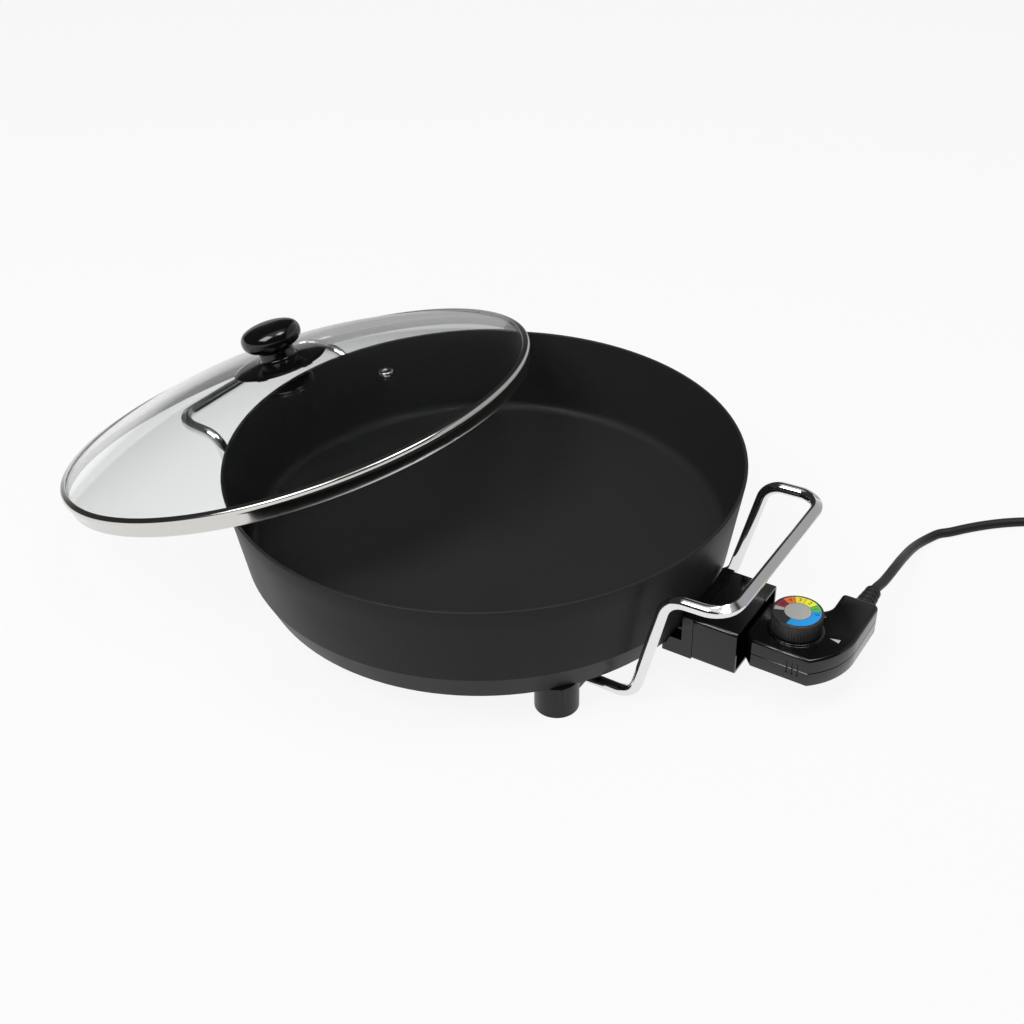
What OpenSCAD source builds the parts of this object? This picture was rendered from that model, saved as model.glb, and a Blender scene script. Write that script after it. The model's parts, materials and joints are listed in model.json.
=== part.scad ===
// Round electric skillet: a deep coated pan on four feet, two wire handles, a
// plug-in temperature control with its cord, and a domed glass lid that leans
// on the left handle and the pan's rim. Sizes are millimetres. The origin is
// the centre of the cooking floor, +Z is up, and +X runs out through the
// connector guard and the control.

/* [Pan] */
// Outer diameter of the rim
pan_d = 360; // [330:5:400]
// Depth from the rim down to the cooking floor
pan_depth = 63.5; // [55:0.5:80]
// Thickness of the side wall
pan_wall = 2.5; // [2:0.5:4]
// Thickness of the cooking floor
floor_t = 3; // [2.5:0.5:4]
// How far the wall leans in from the rim to the chamfer, on the radius
wall_lean = 9.1; // [5:0.1:14]
// Height of the chamfer's upper edge above the cooking floor
chamfer_top = 3.5; // [1:0.5:8]
// How far the chamfer draws in towards the base, on the radius
chamfer_in = 8.8; // [5:0.1:12]
// How far the base ring reaches below the cooking floor
base_drop = 16.8; // [15:0.1:20]
// Width of the base ring's flat face
base_ring_w = 10; // [6:0.5:12]
// Radius between the cooking floor and the wall
floor_fillet = 8; // [5:0.5:12]
// Rounding of the rim's edges
rim_round = 1; // [0.4:0.1:1.2]

/* [Feet and handles] */
// Height of the cooking floor above the table
floor_height = 40.5; // [39:0.5:48]
// Diameter of a foot
foot_d = 29.2; // [26:0.1:32]
// Distance of a foot's centre in from the edge of the pan's base
foot_in = 11.8; // [10:0.1:14]
// Angle from the handle axis to a foot, seen from above
foot_angle = 39.9; // [38:0.1:42]
// Diameter of the handle wire
wire_d = 8; // [6:0.5:9]
// Distance from a foot's centre to the handle's leg, across the handle axis
leg_in = 23.8; // [23:0.1:26]
// Height of the wire's lower run above the table
wire_rise = 9; // [8:0.5:10]
// How far the lower bend stands in from the rim, on the radius
low_bend_in = 22.1; // [18:0.1:24]
// How far the grip stands out from the rim
grip_reach = 39.5; // [36:0.5:50]
// How far the grip lies below the rim
grip_drop = 7; // [3:0.5:10]
// Bend radius of the wire's lower corner
low_bend_r = 15; // [12:1:18]
// Bend radius at the top of a leg
high_bend_r = 16; // [12:1:20]
// Bend radius of the grip's corners
grip_bend_r = 17; // [12:1:20]
// Diameter of the foot screws
foot_screw_d = 4; // [3:0.5:5]

/* [Heating element] */
// Diameter of the element's metal sheath
element_d = 6.5; // [6:0.5:8]
// Radius of the element's ring
element_r = 105; // [90:1:115]
// Distance from the middle of one contact pin to the other
pin_pitch = 22; // [20:0.5:24]
// Diameter of a contact pin
pin_d = 5; // [4:0.5:5.5]
// Length of a contact pin
pin_len = 28; // [24:1:30]

/* [Connector guard] */
// Outer width of the guard
guard_w = 62; // [60:1:70]
// Height of the guard's top above the cooking floor
guard_top = 8.8; // [8:0.2:11]
// Depth of the guard's underside below the cooking floor
guard_bottom = 23.5; // [22.5:0.5:25]
// Wall thickness of the guard
guard_t = 2.5; // [2:0.1:3]
// How far the guard's open end stands out from the rim
guard_reach = 28.7; // [27:0.1:30]

/* [Control] */
// Width of the control's body
body_w = 50; // [48:1:54]
// Length of the control's body from its front edge to its outer side
body_len = 63.3; // [62:0.1:70]
// Height of the control's body
body_h = 21; // [20:0.5:22]
// Width of the side arm that carries the cord
arm_w = 25.2; // [24:0.1:28]
// How far the side arm reaches beyond the body
arm_len = 26.5; // [20:0.5:34]
// Radius of the swept outer corner
sweep_r = 49; // [44:1:52]
// Wall thickness of the control's two shells
shell_t = 2.2; // [1.8:0.1:2.6]
// Width of the nose that enters the guard
nose_w = 34; // [33:0.5:36]
// Length of the nose
nose_len = 21; // [18:1:22]
// Diameter of the temperature probe
probe_d = 7; // [6:0.5:7.5]
// Reach of the probe in front of the nose
probe_len = 55; // [45:1:60]

/* [Dial] */
// Diameter of the dial
dial_d = 32.8; // [28:0.2:36]
// Height of the dial
dial_h = 13; // [10:0.5:16]
// Distance from the control's front edge to the dial's axis
dial_x = 26.3; // [24:0.1:28]
// Number of grip ribs round the dial
dial_ribs = 48; // [36:2:60]

/* [Lid] */
// Diameter of the lid over its steel rim
lid_d = 364; // [362:1:370]
// Rise of the glass above the lid's rim
dome_rise = 34; // [30:0.5:38]
// Thickness of the glass
glass_t = 4; // [3:0.5:5]
// Depth of the steel skirt below the rim
skirt_h = 12; // [8:0.5:14]
// Thickness of the steel sheet
sheet_t = 0.7; // [0.6:0.1:1]
// How far the lid is slid back from the pan's centre
lid_slide = 171; // [160:1:176]
// Diameter of the lid's knob
knob_d = 45; // [38:0.5:50]
// Height of the knob above its base disc
knob_h = 26; // [22:0.5:30]
// Diameter of the base disc under the knob
knob_base_d = 70; // [60:1:80]
// Distance of the steam vent from the lid's middle
vent_r = 100; // [85:1:120]
// Bore of the steam vent
vent_d = 3.6; // [3:0.2:5]

/* [Cord and plug] */
// Diameter of the cord
cord_d = 7; // [6:0.1:7.4]
// Length of the strain relief outside the control
relief_len = 24; // [20:0.5:30]
// Radius of the coil at the middle of its turns
coil_r = 36; // [34:1:40]
// Gap between neighbouring turns of the coil
turn_gap = 0.7; // [0.6:0.1:1]
// Diameter of the mains plug
plug_d = 37; // [34:1:40]
// Diameter of a plug pin
plug_pin_d = 4.8; // [4.8:0.1:5]
// Length of a plug pin
plug_pin_len = 19; // [18:0.5:20]
// Distance from one plug pin's middle to the other
plug_pin_pitch = 19; // [18:0.5:20]

/* [Hidden] */
$fn = 96;

black_coat = "#262728";
black_plastic = "#141414";
steel = "#c9ccd0";
brass = "#c8a24a";
ceramic = "#e9e4d8";

// Clearances: seated parts of one body, parts that slide, and the lid's rest.
seat_gap = 0.25;
slide_gap = 0.2;
rest_gap = 0.3;
fit_gap = 0.1;
screw_gap = 0.05;
shaft_gap = 0.06;

// ---- Pan outline -------------------------------------------------------
pan_r = pan_d / 2;
chamfer_r = pan_r - wall_lean;
base_r = chamfer_r - chamfer_in;
recess_r = base_r - base_ring_w;
lean_angle = atan(wall_lean / (pan_depth - chamfer_top));

// Outer radius of the pan at height z.
function wall_r(z) = z >= chamfer_top
    ? pan_r - (pan_depth - z) * tan(lean_angle)
    : chamfer_r - chamfer_in * (chamfer_top - z) / (chamfer_top + base_drop);

function arc(centre, r, from, to, steps) =
    [for (i = [0:steps]) centre + r * [cos(from + (to - from) * i / steps),
                                       sin(from + (to - from) * i / steps)]];

fillet_z = floor_fillet * (1 - sin(lean_angle));
fillet_x = wall_r(fillet_z) - pan_wall - floor_fillet * cos(lean_angle);
pan_outline = concat(
    [[0, -floor_t], [recess_r, -floor_t], [recess_r, -base_drop], [base_r, -base_drop],
     [chamfer_r, chamfer_top]],
    arc([wall_r(pan_depth - rim_round) - rim_round, pan_depth - rim_round], rim_round, 0, 90, 4),
    arc([wall_r(pan_depth - rim_round) - pan_wall + rim_round, pan_depth - rim_round],
        rim_round, 90, 180, 4),
    arc([fillet_x, floor_fillet], floor_fillet, -lean_angle, -90, 8),
    [[0, 0]]);

// The pan's outside, grown by a clearance, which cuts what stands against it.
module pan_envelope(gap) {
    rotate_extrude($fn = 180) polygon([
        [0, -base_drop - gap], [base_r + gap, -base_drop - gap],
        [chamfer_r + gap, chamfer_top], [pan_r + gap, pan_depth], [0, pan_depth]]);
}

// ---- Levels and stations -----------------------------------------------
table_z = -floor_height;
pin_z = -(floor_t + seat_gap + element_d / 2);
pin_y = pin_pitch / 2;
rim_z = pan_depth;

foot_x = (base_r - foot_in) * cos(foot_angle);
foot_y = (base_r - foot_in) * sin(foot_angle);
leg_y = foot_y - leg_in;
foot_screw_r = foot_screw_d / 2;
foot_boss_r = foot_screw_r + 5;
foot_boss_depth = 9;
wire_r = wire_d / 2;
wire_z = table_z + wire_rise;
wire_end_x = foot_x - 9;
grip_x = pan_r + grip_reach;
grip_z = rim_z - grip_drop;
high_x = pan_r - 0.9;
high_z = grip_z - 1.6;

guard_end_x = pan_r + guard_reach;
guard_joint_x = pan_r - 2;
guard_z = (guard_top - guard_bottom) / 2;
guard_h = guard_top + guard_bottom;
plate_x = wall_r(guard_top) + 1.5;
plate_t = 3;
guard_screw_y = 22;
guard_screw_r = 1.7;
element_end_x = plate_x - 1;
insulator_r = pin_d / 2 + 1.7;
probe_r = probe_d / 2;
probe_bore_r = probe_r + slide_gap;

body_x = guard_end_x + 0.5;
body_end_x = body_x + body_len;
body_top = pin_z + body_h / 2;
body_bottom = pin_z - body_h / 2;
arm_x = body_end_x - arm_w;
arm_end_y = body_w / 2 + arm_len;
arm_mid_x = body_end_x - arm_w / 2;
nose_x = body_x - nose_len;
nose_h = 15;
probe_tip_x = nose_x - probe_len;
dial_axis_x = body_x + dial_x;
collar_h = 1.4;
collar_r = dial_d / 2 + 1.4;
dial_z = body_top + collar_h + 0.4;
shaft_r = 3;
post_r = 3.6;
control_screw_r = 1.5;
post_sites = [[body_x + 12, -17], [body_x + 12, 17], [body_x + 40, -18], [body_end_x - 6.2, 23]];

// ---- Swept wires -------------------------------------------------------
function unit(v) = v / norm(v);

// Points round a corner at b, on an arc of radius r from the line ab to the line bc.
function bend(a, b, c, r) = let(
    d1 = unit(b - a),
    d2 = unit(c - b),
    turn = acos(d1 * d2),
    start = b - d1 * r * tan(turn / 2),
    side = unit(d2 - (d1 * d2) * d1),
    steps = ceil(turn / 8))
    [for (i = [0:steps]) let(q = turn * i / steps)
        start + r * sin(q) * d1 + r * (1 - cos(q)) * side];

// The corners' path with a bend of its own radius at each inner corner.
function wire_path(corners, radii) = let(last = len(corners) - 1) concat(
    [corners[0]],
    [for (i = [1:last - 1])
        each bend(corners[i - 1], corners[i], corners[i + 1], radii[i - 1])],
    [corners[last]]);

// Closed tube swept along the points. No stretch of it stands upright.
module tube(points, r, sides) {
    last = len(points) - 1;
    rings = [for (i = [0:last]) let(
        d = unit(points[min(i + 1, last)] - points[max(i - 1, 0)]),
        s = unit(cross(d, [0, 0, 1])),
        u = cross(s, d))
        for (k = [0:sides - 1]) let(a = 360 * k / sides) points[i] + r * (cos(a) * s + sin(a) * u)];
    sides_faces = [for (i = [0:last - 1], k = [0:sides - 1]) let(
        a = i * sides + k, b = i * sides + (k + 1) % sides)
        each [[a, b, b + sides], [a, b + sides, a + sides]]];
    start_faces = [for (k = [1:sides - 2]) [0, k + 1, k]];
    end_faces = [for (k = [1:sides - 2]) [last * sides, last * sides + k, last * sides + k + 1]];
    polyhedron(points = rings, faces = concat(sides_faces, start_faces, end_faces));
}

// ---- Pan and heating ---------------------------------------------------
module at_feet() {
    for (sx = [-1, 1], sy = [-1, 1]) translate([sx * foot_x, sy * foot_y, 0]) children();
}

module along_x(x, y, z) {
    translate([x, y, z]) rotate([0, 90, 0]) children();
}

module pan_body() {
    lug_x = recess_r - 26;
    lug_h = 2 * (floor_t - 1) + probe_d + 6;
    color(black_coat) difference() {
        union() {
            rotate_extrude($fn = 180) polygon(pan_outline);
            at_feet() translate([0, 0, -base_drop])
                cylinder(h = base_drop - floor_t / 2, r = foot_boss_r);
            translate([lug_x, -probe_r - 3.5, pin_z - probe_r - 3])
                cube([recess_r - lug_x + 2, probe_d + 7, probe_r + 3 - pin_z - floor_t / 2]);
        }
        at_feet() translate([0, 0, -base_drop - 1])
            cylinder(h = foot_boss_depth + 1, r = foot_screw_r + screw_gap);
        for (s = [-1, 1]) {
            along_x(recess_r - 8, s * pin_y, pin_z)
                cylinder(h = pan_r - recess_r, r = element_d / 2 + seat_gap);
            along_x(recess_r - 4, s * guard_screw_y, pin_z)
                cylinder(h = pan_r - recess_r, r = guard_screw_r + screw_gap);
        }
        along_x(probe_tip_x - 1, 0, pin_z)
            cylinder(h = pan_r - probe_tip_x, r = probe_bore_r);
    }
}

element_turn_r = 20;
element_join_r = element_r + element_turn_r;
element_join_angle = asin((pin_y + element_turn_r) / element_join_r);
element_join_x = element_join_r * cos(element_join_angle);

element_plan = concat(
    [[element_end_x, pin_y]],
    arc([element_join_x, pin_y + element_turn_r], element_turn_r, -90, element_join_angle - 180, 9),
    arc([0, 0], element_r, element_join_angle + 6, 354 - element_join_angle, 54),
    arc([element_join_x, -pin_y - element_turn_r], element_turn_r, 180 - element_join_angle, 90, 9),
    [[element_end_x, -pin_y]]);

module heating_element() {
    color("#4a4642") tube([for (p = element_plan) [p.x, p.y, pin_z]], element_d / 2, 14);
}

// Saddles that hold the element up against the floor, spot-welded by their ears.
module element_clamps() {
    ear = 6;
    clamp_t = 1;
    clamp_w = 14;
    saddle_r = element_d / 2 + 2 * seat_gap;
    color(steel) for (a = [75, 180, 285]) rotate([0, 0, a])
        translate([element_r, clamp_w / 2, pin_z]) rotate([90, 0, 0]) difference() {
            union() {
                cylinder(h = clamp_w, r = saddle_r + clamp_t);
                translate([-saddle_r - clamp_t - ear, -floor_t - pin_z - clamp_t, 0])
                    cube([2 * (saddle_r + clamp_t + ear), clamp_t, clamp_w]);
            }
            translate([0, 0, -1]) cylinder(h = clamp_w + 2, r = saddle_r);
            translate([-saddle_r, 0, -1]) cube([2 * saddle_r, saddle_r + 5, clamp_w + 2]);
            translate([-saddle_r - clamp_t - 1, -floor_t - pin_z, -1])
                cube([2 * (saddle_r + clamp_t + 1), 5, clamp_w + 2]);
        }
}

module contact_pins() {
    color(steel) for (s = [-1, 1]) along_x(element_end_x, s * pin_y, pin_z) {
        cylinder(h = pin_len - 1.5, d = pin_d);
        translate([0, 0, pin_len - 1.5]) cylinder(h = 1.5, d1 = pin_d, d2 = pin_d - 2);
    }
}

module pin_insulators() {
    color(ceramic) for (s = [-1, 1]) along_x(element_end_x, s * pin_y, pin_z) difference() {
        cylinder(h = plate_t + 2.5, r = insulator_r);
        translate([0, 0, -1]) cylinder(h = plate_t + 5, r = pin_d / 2 + fit_gap);
    }
}

// ---- Connector guard ---------------------------------------------------
// A square tube along X between two stations, inset from the guard's outside.
module guard_tube(x0, x1, inset, t) {
    w = guard_w - 2 * inset;
    h = guard_h - 2 * inset;
    translate([x0, -w / 2, guard_z - h / 2]) difference() {
        cube([x1 - x0, w, h]);
        translate([-1, t, t]) cube([x1 - x0 + 2, w - 2 * t, h - 2 * t]);
    }
}

module guard_bracket() {
    foot_in = 23;
    spigot = 6;
    boss_len = base_ring_w + 2;
    cheek_h = 12.5;
    cheek_x = plate_x - 2.7;
    color(black_plastic) difference() {
        union() {
            difference() {
                guard_tube(pan_r - foot_in, guard_joint_x, 0, guard_t);
                translate([pan_r - foot_in - 1, -guard_w, cheek_h - guard_bottom])
                    cube([cheek_x - pan_r + foot_in + 1, 2 * guard_w, guard_h]);
            }
            guard_tube(plate_x, guard_joint_x, guard_t - 0.5, 2);
            guard_tube(guard_joint_x - 1, guard_joint_x + spigot, guard_t + seat_gap / 2, 1.4);
            translate([plate_x, -guard_w / 2 + 1, guard_z - guard_h / 2 + 1])
                cube([plate_t, guard_w - 2, guard_h - 2]);
            for (s = [-1, 1]) along_x(plate_x - boss_len, s * guard_screw_y, pin_z)
                cylinder(h = boss_len, r = 4);
        }
        pan_envelope(0.4);
        for (s = [-1, 1]) {
            along_x(plate_x - 1, s * pin_y, pin_z)
                cylinder(h = plate_t + 2, r = insulator_r + fit_gap);
            along_x(plate_x - 20, s * guard_screw_y, pin_z)
                cylinder(h = 30, r = guard_screw_r + fit_gap);
        }
        along_x(plate_x - 1, 0, pin_z) cylinder(h = plate_t + 2, r = probe_bore_r + 0.5);
    }
}

module guard_sleeve() {
    color(black_plastic) guard_tube(guard_joint_x + seat_gap, guard_end_x, 0, guard_t);
}

module guard_screws() {
    head_x = plate_x + plate_t;
    color(steel) for (s = [-1, 1]) along_x(head_x, s * guard_screw_y, pin_z) {
        cylinder(h = 2.2, r = 3.2);
        translate([0, 0, -21]) cylinder(h = 21.1, r = guard_screw_r);
    }
}

// Springy strip that earths the control's nose, screwed flat to the back plate's foot.
module earth_strip() {
    floor_z = guard_z - guard_h / 2 + guard_t + seat_gap / 2 + 1.4;
    x0 = plate_x + plate_t;
    color(steel) {
        translate([x0 + 0.05, -4, floor_z + 0.1]) cube([0.6, 8, 4]);
        translate([x0 + 0.05, -4, floor_z + 0.1]) cube([14, 8, 0.6]);
    }
}

// ---- Feet and handles --------------------------------------------------
// Foot at +X +Y: a round pad under a square block, with a saddle beside it that
// grips the end of the handle wire.
module foot() {
    foot_r = foot_d / 2;
    x0 = wire_end_x - foot_x - 3;
    x1 = foot_r * 0.8;
    y0 = leg_y - foot_y - wire_r - 2.6;
    y1 = foot_r * 0.79;
    ease = 2;
    block_z = wire_z + wire_r / 2;
    saddle_z = wire_z - wire_r - 0.8;
    translate([foot_x, foot_y, 0]) difference() {
        union() {
            translate([0, 0, table_z]) cylinder(h = -base_drop - table_z, r = foot_r);
            translate([0, 0, block_z]) linear_extrude(-base_drop - block_z) polygon([
                [x0, y0], [x1 - ease, y0], [x1, y0 + ease], [x1, y1 - ease], [x1 - ease, y1],
                [-foot_r * 0.4, y1], [x0, 0]]);
            translate([x0, y0, saddle_z])
                cube([x1 - 6 - x0, 2 * wire_r + 5.2, -base_drop - saddle_z]);
        }
        along_x(wire_end_x - foot_x - 0.2, leg_y - foot_y, wire_z)
            cylinder(h = 40, r = wire_r + fit_gap);
        translate([0, 0, table_z - 1]) cylinder(h = 40, r = foot_screw_r + fit_gap);
        translate([0, 0, table_z - 1])
            cylinder(h = 1 - base_drop - table_z - 7, r = foot_screw_d + 0.5);
    }
}

module foot_right_rear() { color(black_plastic) foot(); }
module foot_right_front() { color(black_plastic) mirror([0, 1, 0]) foot(); }
module foot_left_rear() { color(black_plastic) mirror([1, 0, 0]) foot(); }
module foot_left_front() { color(black_plastic) rotate([0, 0, 180]) foot(); }

module foot_screws() {
    head_z = -base_drop - 7;
    color(steel) at_feet() {
        translate([0, 0, head_z - 2.6]) cylinder(h = 2.6, r = foot_screw_d - 0.3);
        translate([0, 0, head_z - 0.1])
            cylinder(h = 7 + foot_boss_depth - 1, r = foot_screw_r);
    }
}

handle_corners = [
    [wire_end_x, -leg_y, wire_z], [pan_r - low_bend_in, -leg_y, wire_z],
    [high_x, -leg_y, high_z], [grip_x, -leg_y, grip_z],
    [grip_x, leg_y, grip_z], [high_x, leg_y, high_z],
    [pan_r - low_bend_in, leg_y, wire_z], [wire_end_x, leg_y, wire_z]];
handle_bends = [low_bend_r, high_bend_r, grip_bend_r, grip_bend_r, high_bend_r, low_bend_r];

module handle() { tube(wire_path(handle_corners, handle_bends), wire_r, 16); }
module handle_right() { color(steel) handle(); }
module handle_left() { color(steel) rotate([0, 0, 180]) handle(); }

// ---- Lid pose ----------------------------------------------------------
// The lid leans with its skirt on the pan's rim and its glass on the left grip.
lid_r = lid_d / 2;
glass_r = lid_r - 3.6;
skirt_r = lid_r - 2.7;
outer_sphere = (glass_r * glass_r + dome_rise * dome_rise) / (2 * dome_rise);
inner_sphere = outer_sphere - glass_t;
sphere_drop = outer_sphere - dome_rise;

// Height of the lid's middle at tilt t when the skirt's edge meets the rim's circle.
function lid_height(t) = let(
    a = skirt_h * sin(t) - lid_slide,
    b = skirt_r * cos(t),
    qa = b * b - skirt_r * skirt_r,
    qb = 2 * a * b,
    qc = a * a + skirt_r * skirt_r - pan_r * pan_r,
    c = (-qb - sqrt(qb * qb - 4 * qa * qc)) / (2 * qa),
    d = (-qb + sqrt(qb * qb - 4 * qa * qc)) / (2 * qa),
    meet = abs(c) <= 1 ? c : d)
    rim_z + rest_gap - skirt_r * meet * sin(t) + skirt_h * cos(t);

// Room left between the glass and the end of the grip's straight run at tilt t.
function grip_room(t) = inner_sphere - wire_r - rest_gap - norm([
    -lid_slide + sphere_drop * sin(t) + grip_x,
    leg_y - grip_bend_r + 2,
    lid_height(t) - sphere_drop * cos(t) - grip_z]);

function settle(low, high, rounds) = let(mid = (low + high) / 2)
    rounds == 0 ? mid
    : grip_room(mid) > 0 ? settle(mid, high, rounds - 1) : settle(low, mid, rounds - 1);

lid_tilt = settle(3, 40, 24);
lid_z = lid_height(lid_tilt);

module on_lid() {
    translate([-lid_slide, 0, lid_z]) rotate([0, -lid_tilt, 0]) children();
}

// Height above the lid's rim plane of a sphere that is concentric with the glass.
function dome_z(r, sphere) = sqrt(sphere * sphere - r * r) - sphere_drop;
function dome_arc(sphere, r0, r1, steps) =
    [for (i = [0:steps]) let(r = r0 + (r1 - r0) * i / steps) [r, dome_z(r, sphere)]];

hole_r = 3.2;
knob_screw_r = 2.5;
base_top = dome_rise + 4.4;

module lid_glass() {
    glass_in_r = glass_r - glass_t * glass_r / outer_sphere;
    color([0.8, 0.9, 0.9, 0.35]) on_lid() difference() {
        rotate_extrude($fn = 180) polygon(concat(
            dome_arc(outer_sphere, 0, glass_r, 24), dome_arc(inner_sphere, glass_in_r, 0, 24)));
        translate([0, 0, dome_rise - 10]) cylinder(h = 20, r = hole_r);
        translate([vent_r, 0, 0]) cylinder(h = 2 * dome_rise, r = hole_r);
    }
}

// Rolled steel rim: a lip over the glass, a bead outside it, a fold under it and a skirt.
module lid_rim() {
    lip_r = glass_r - 1.3;
    corner_r = glass_r - 1.4;
    fold_r = glass_r - 2;
    gap = 0.12;
    color(steel) on_lid() rotate_extrude($fn = 180) polygon([
        [lip_r, dome_z(lip_r, outer_sphere) + gap + sheet_t],
        [glass_r, gap + sheet_t], [lid_r - 1.4, 0.2], [lid_r, -1], [lid_r, -2.6],
        [skirt_r + 1, -4.2], [skirt_r, -4.6], [skirt_r, -skirt_h], [skirt_r - sheet_t, -skirt_h],
        [skirt_r - sheet_t, -5.6], [fold_r, dome_z(fold_r, inner_sphere) - gap - sheet_t],
        [fold_r, dome_z(fold_r, inner_sphere) - gap],
        [corner_r, dome_z(corner_r, inner_sphere) - gap - 0.1],
        [glass_r + gap, -4.2], [glass_r + gap, 0], [lip_r, dome_z(lip_r, outer_sphere) + gap]]);
}

module knob_base() {
    r = knob_base_d / 2;
    neck = knob_d * 0.32;
    color(black_plastic) on_lid() difference() {
        rotate_extrude() polygon(concat(
            dome_arc(outer_sphere + 0.1, 0, r, 8),
            [[r, dome_z(r, outer_sphere) + 1.2], [r - 1, dome_z(r, outer_sphere) + 2],
             [neck + 1, base_top - 0.6], [neck, base_top], [0, base_top]]));
        translate([0, 0, dome_rise - 5]) cylinder(h = 20, r = hole_r);
    }
}

module lid_knob() {
    k = knob_d / 2;
    neck = k * 0.63;
    color(black_plastic) on_lid() translate([0, 0, base_top + 0.1]) difference() {
        rotate_extrude() polygon(concat(
            [[0, 0], [neck, 0], [neck * 0.95, 1], [neck * 0.93, knob_h * 0.3]],
            arc([k - knob_h * 0.31, knob_h * 0.63], knob_h * 0.31, -62, 50, 8),
            [[k * 0.62, knob_h * 0.965], [k * 0.3, knob_h * 0.995], [0, knob_h]]));
        translate([0, 0, -1]) cylinder(h = knob_h * 0.55 + 1, r = knob_screw_r + screw_gap);
    }
}

module knob_washer() {
    under = dome_z(9, inner_sphere);
    color(steel) on_lid() translate([0, 0, under - 1.3]) difference() {
        cylinder(h = 1.2, r = 9);
        translate([0, 0, -1]) cylinder(h = 4, r = knob_screw_r + fit_gap);
    }
}

module knob_screw() {
    head_z = dome_z(9, inner_sphere) - 1.4;
    color(steel) on_lid() {
        translate([0, 0, head_z - 2.4]) cylinder(h = 2.4, r = 4.8);
        translate([0, 0, head_z - 0.1])
            cylinder(h = base_top + knob_h * 0.5 - head_z, r = knob_screw_r);
    }
}

// Eyelet through the glass. Its two flanges follow the slope of the dome there.
module vent_eyelet() {
    mid_z = (dome_z(vent_r, outer_sphere) + dome_z(vent_r, inner_sphere)) / 2;
    slope = asin(vent_r / outer_sphere);
    half = glass_t / 2 + 0.15;
    color(steel) on_lid() translate([vent_r, 0, mid_z]) rotate([0, slope, 0]) difference() {
        union() {
            translate([0, 0, half]) cylinder(h = 0.9, r = 5);
            translate([0, 0, -half - 0.9]) cylinder(h = 0.9, r = 5);
            translate([0, 0, -half - 0.5]) cylinder(h = 2 * half + 1, r = vent_d / 2 + 0.6);
        }
        translate([0, 0, -half - 5]) cylinder(h = 2 * half + 10, d = vent_d);
    }
}

// ---- Control -----------------------------------------------------------
nose_hw = nose_w / 2;
cheek = 7;
inner_corner_r = 11;
sweep_from = -50;
sweep_centre = [body_end_x - sweep_r, sweep_r * -sin(sweep_from) - body_w / 2];

control_outline = concat(
    [[body_x, -nose_hw], [body_x + cheek, -body_w / 2]],
    arc(sweep_centre, sweep_r, sweep_from, 0, 10),
    arc([body_end_x - 4.5, arm_end_y - 4.5], 4.5, 0, 90, 4),
    arc([arm_x + 3, arm_end_y - 3], 3, 90, 180, 3),
    arc([arm_x - inner_corner_r, body_w / 2 + inner_corner_r], inner_corner_r, 0, -90, 6),
    [[body_x + cheek, body_w / 2], [body_x, nose_hw]]);

// The whole control's outside, solid.
module control_block() {
    edge = 1.2;
    translate([0, 0, body_bottom]) linear_extrude(body_h - edge) polygon(control_outline);
    translate([0, 0, body_top - edge - 0.01])
        linear_extrude(edge + 0.01) offset(delta = -edge * 0.6) polygon(control_outline);
    translate([nose_x, -nose_hw, pin_z - nose_h / 2]) cube([nose_len + 1, nose_w, nose_h]);
}

module control_hollow() {
    translate([0, 0, body_bottom + shell_t]) linear_extrude(body_h - 2 * shell_t)
        offset(delta = -shell_t) polygon(control_outline);
    translate([nose_x + shell_t, shell_t - nose_hw, pin_z - nose_h / 2 + shell_t])
        cube([nose_len + 5, nose_w - 2 * shell_t, nose_h - 2 * shell_t]);
}

module at_posts() {
    for (p = post_sites) translate([p.x, p.y, 0]) children();
}

// Holes in the nose for the contact pins and the probe, and the cord's way out.
module control_openings() {
    for (s = [-1, 1]) along_x(nose_x - 1, s * pin_y, pin_z)
        cylinder(h = shell_t + 2, r = pin_d / 2 + 0.5);
    along_x(nose_x - 1, 0, pin_z) cylinder(h = shell_t + 2, r = probe_r + fit_gap);
    translate([arm_mid_x, arm_end_y - shell_t - 1, pin_z]) rotate([-90, 0, 0])
        cylinder(h = shell_t + 2, r = relief_neck_r + fit_gap);
}

module control_top() {
    color(black_plastic) difference() {
        union() {
            difference() {
                control_block();
                control_hollow();
            }
            translate([dial_axis_x, 0, body_top - 1]) cylinder(h = collar_h + 1, r = collar_r);
            at_posts() translate([0, 0, pin_z]) cylinder(h = body_top - pin_z - 1, r = post_r);
        }
        translate([nose_x - 1, -100, pin_z - 100]) cube([200, 200, 100]);
        control_openings();
        translate([dial_axis_x, 0, body_top - 5]) cylinder(h = 10, r = shaft_r + 0.5);
        lamp_place() translate([0, 0, body_top - 5]) cylinder(h = 10, r = lens_r + fit_gap);
        translate([0, 0, body_top - 0.5]) linear_extrude(1) pointer_outline();
        at_posts() translate([0, 0, pin_z - 1]) cylinder(h = 7, r = control_screw_r + screw_gap);
    }
}

module control_bottom() {
    color(black_plastic) difference() {
        union() {
            difference() {
                control_block();
                control_hollow();
            }
            at_posts() translate([0, 0, body_bottom + 1])
                cylinder(h = pin_z - body_bottom - 1, r = post_r);
        }
        translate([nose_x - 1, -100, pin_z]) cube([200, 200, 100]);
        control_openings();
        at_posts() translate([0, 0, body_bottom - 1]) {
            cylinder(h = body_h, r = control_screw_r + fit_gap);
            cylinder(h = 4, r = 2 * control_screw_r);
        }
    }
}

module control_screws() {
    color(steel) at_posts() translate([0, 0, body_bottom + 1]) {
        cylinder(h = 2, r = 2 * control_screw_r - 0.2);
        cylinder(h = pin_z - body_bottom + 4, r = control_screw_r);
    }
}

flange_x = nose_x + shell_t + 0.1;

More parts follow.
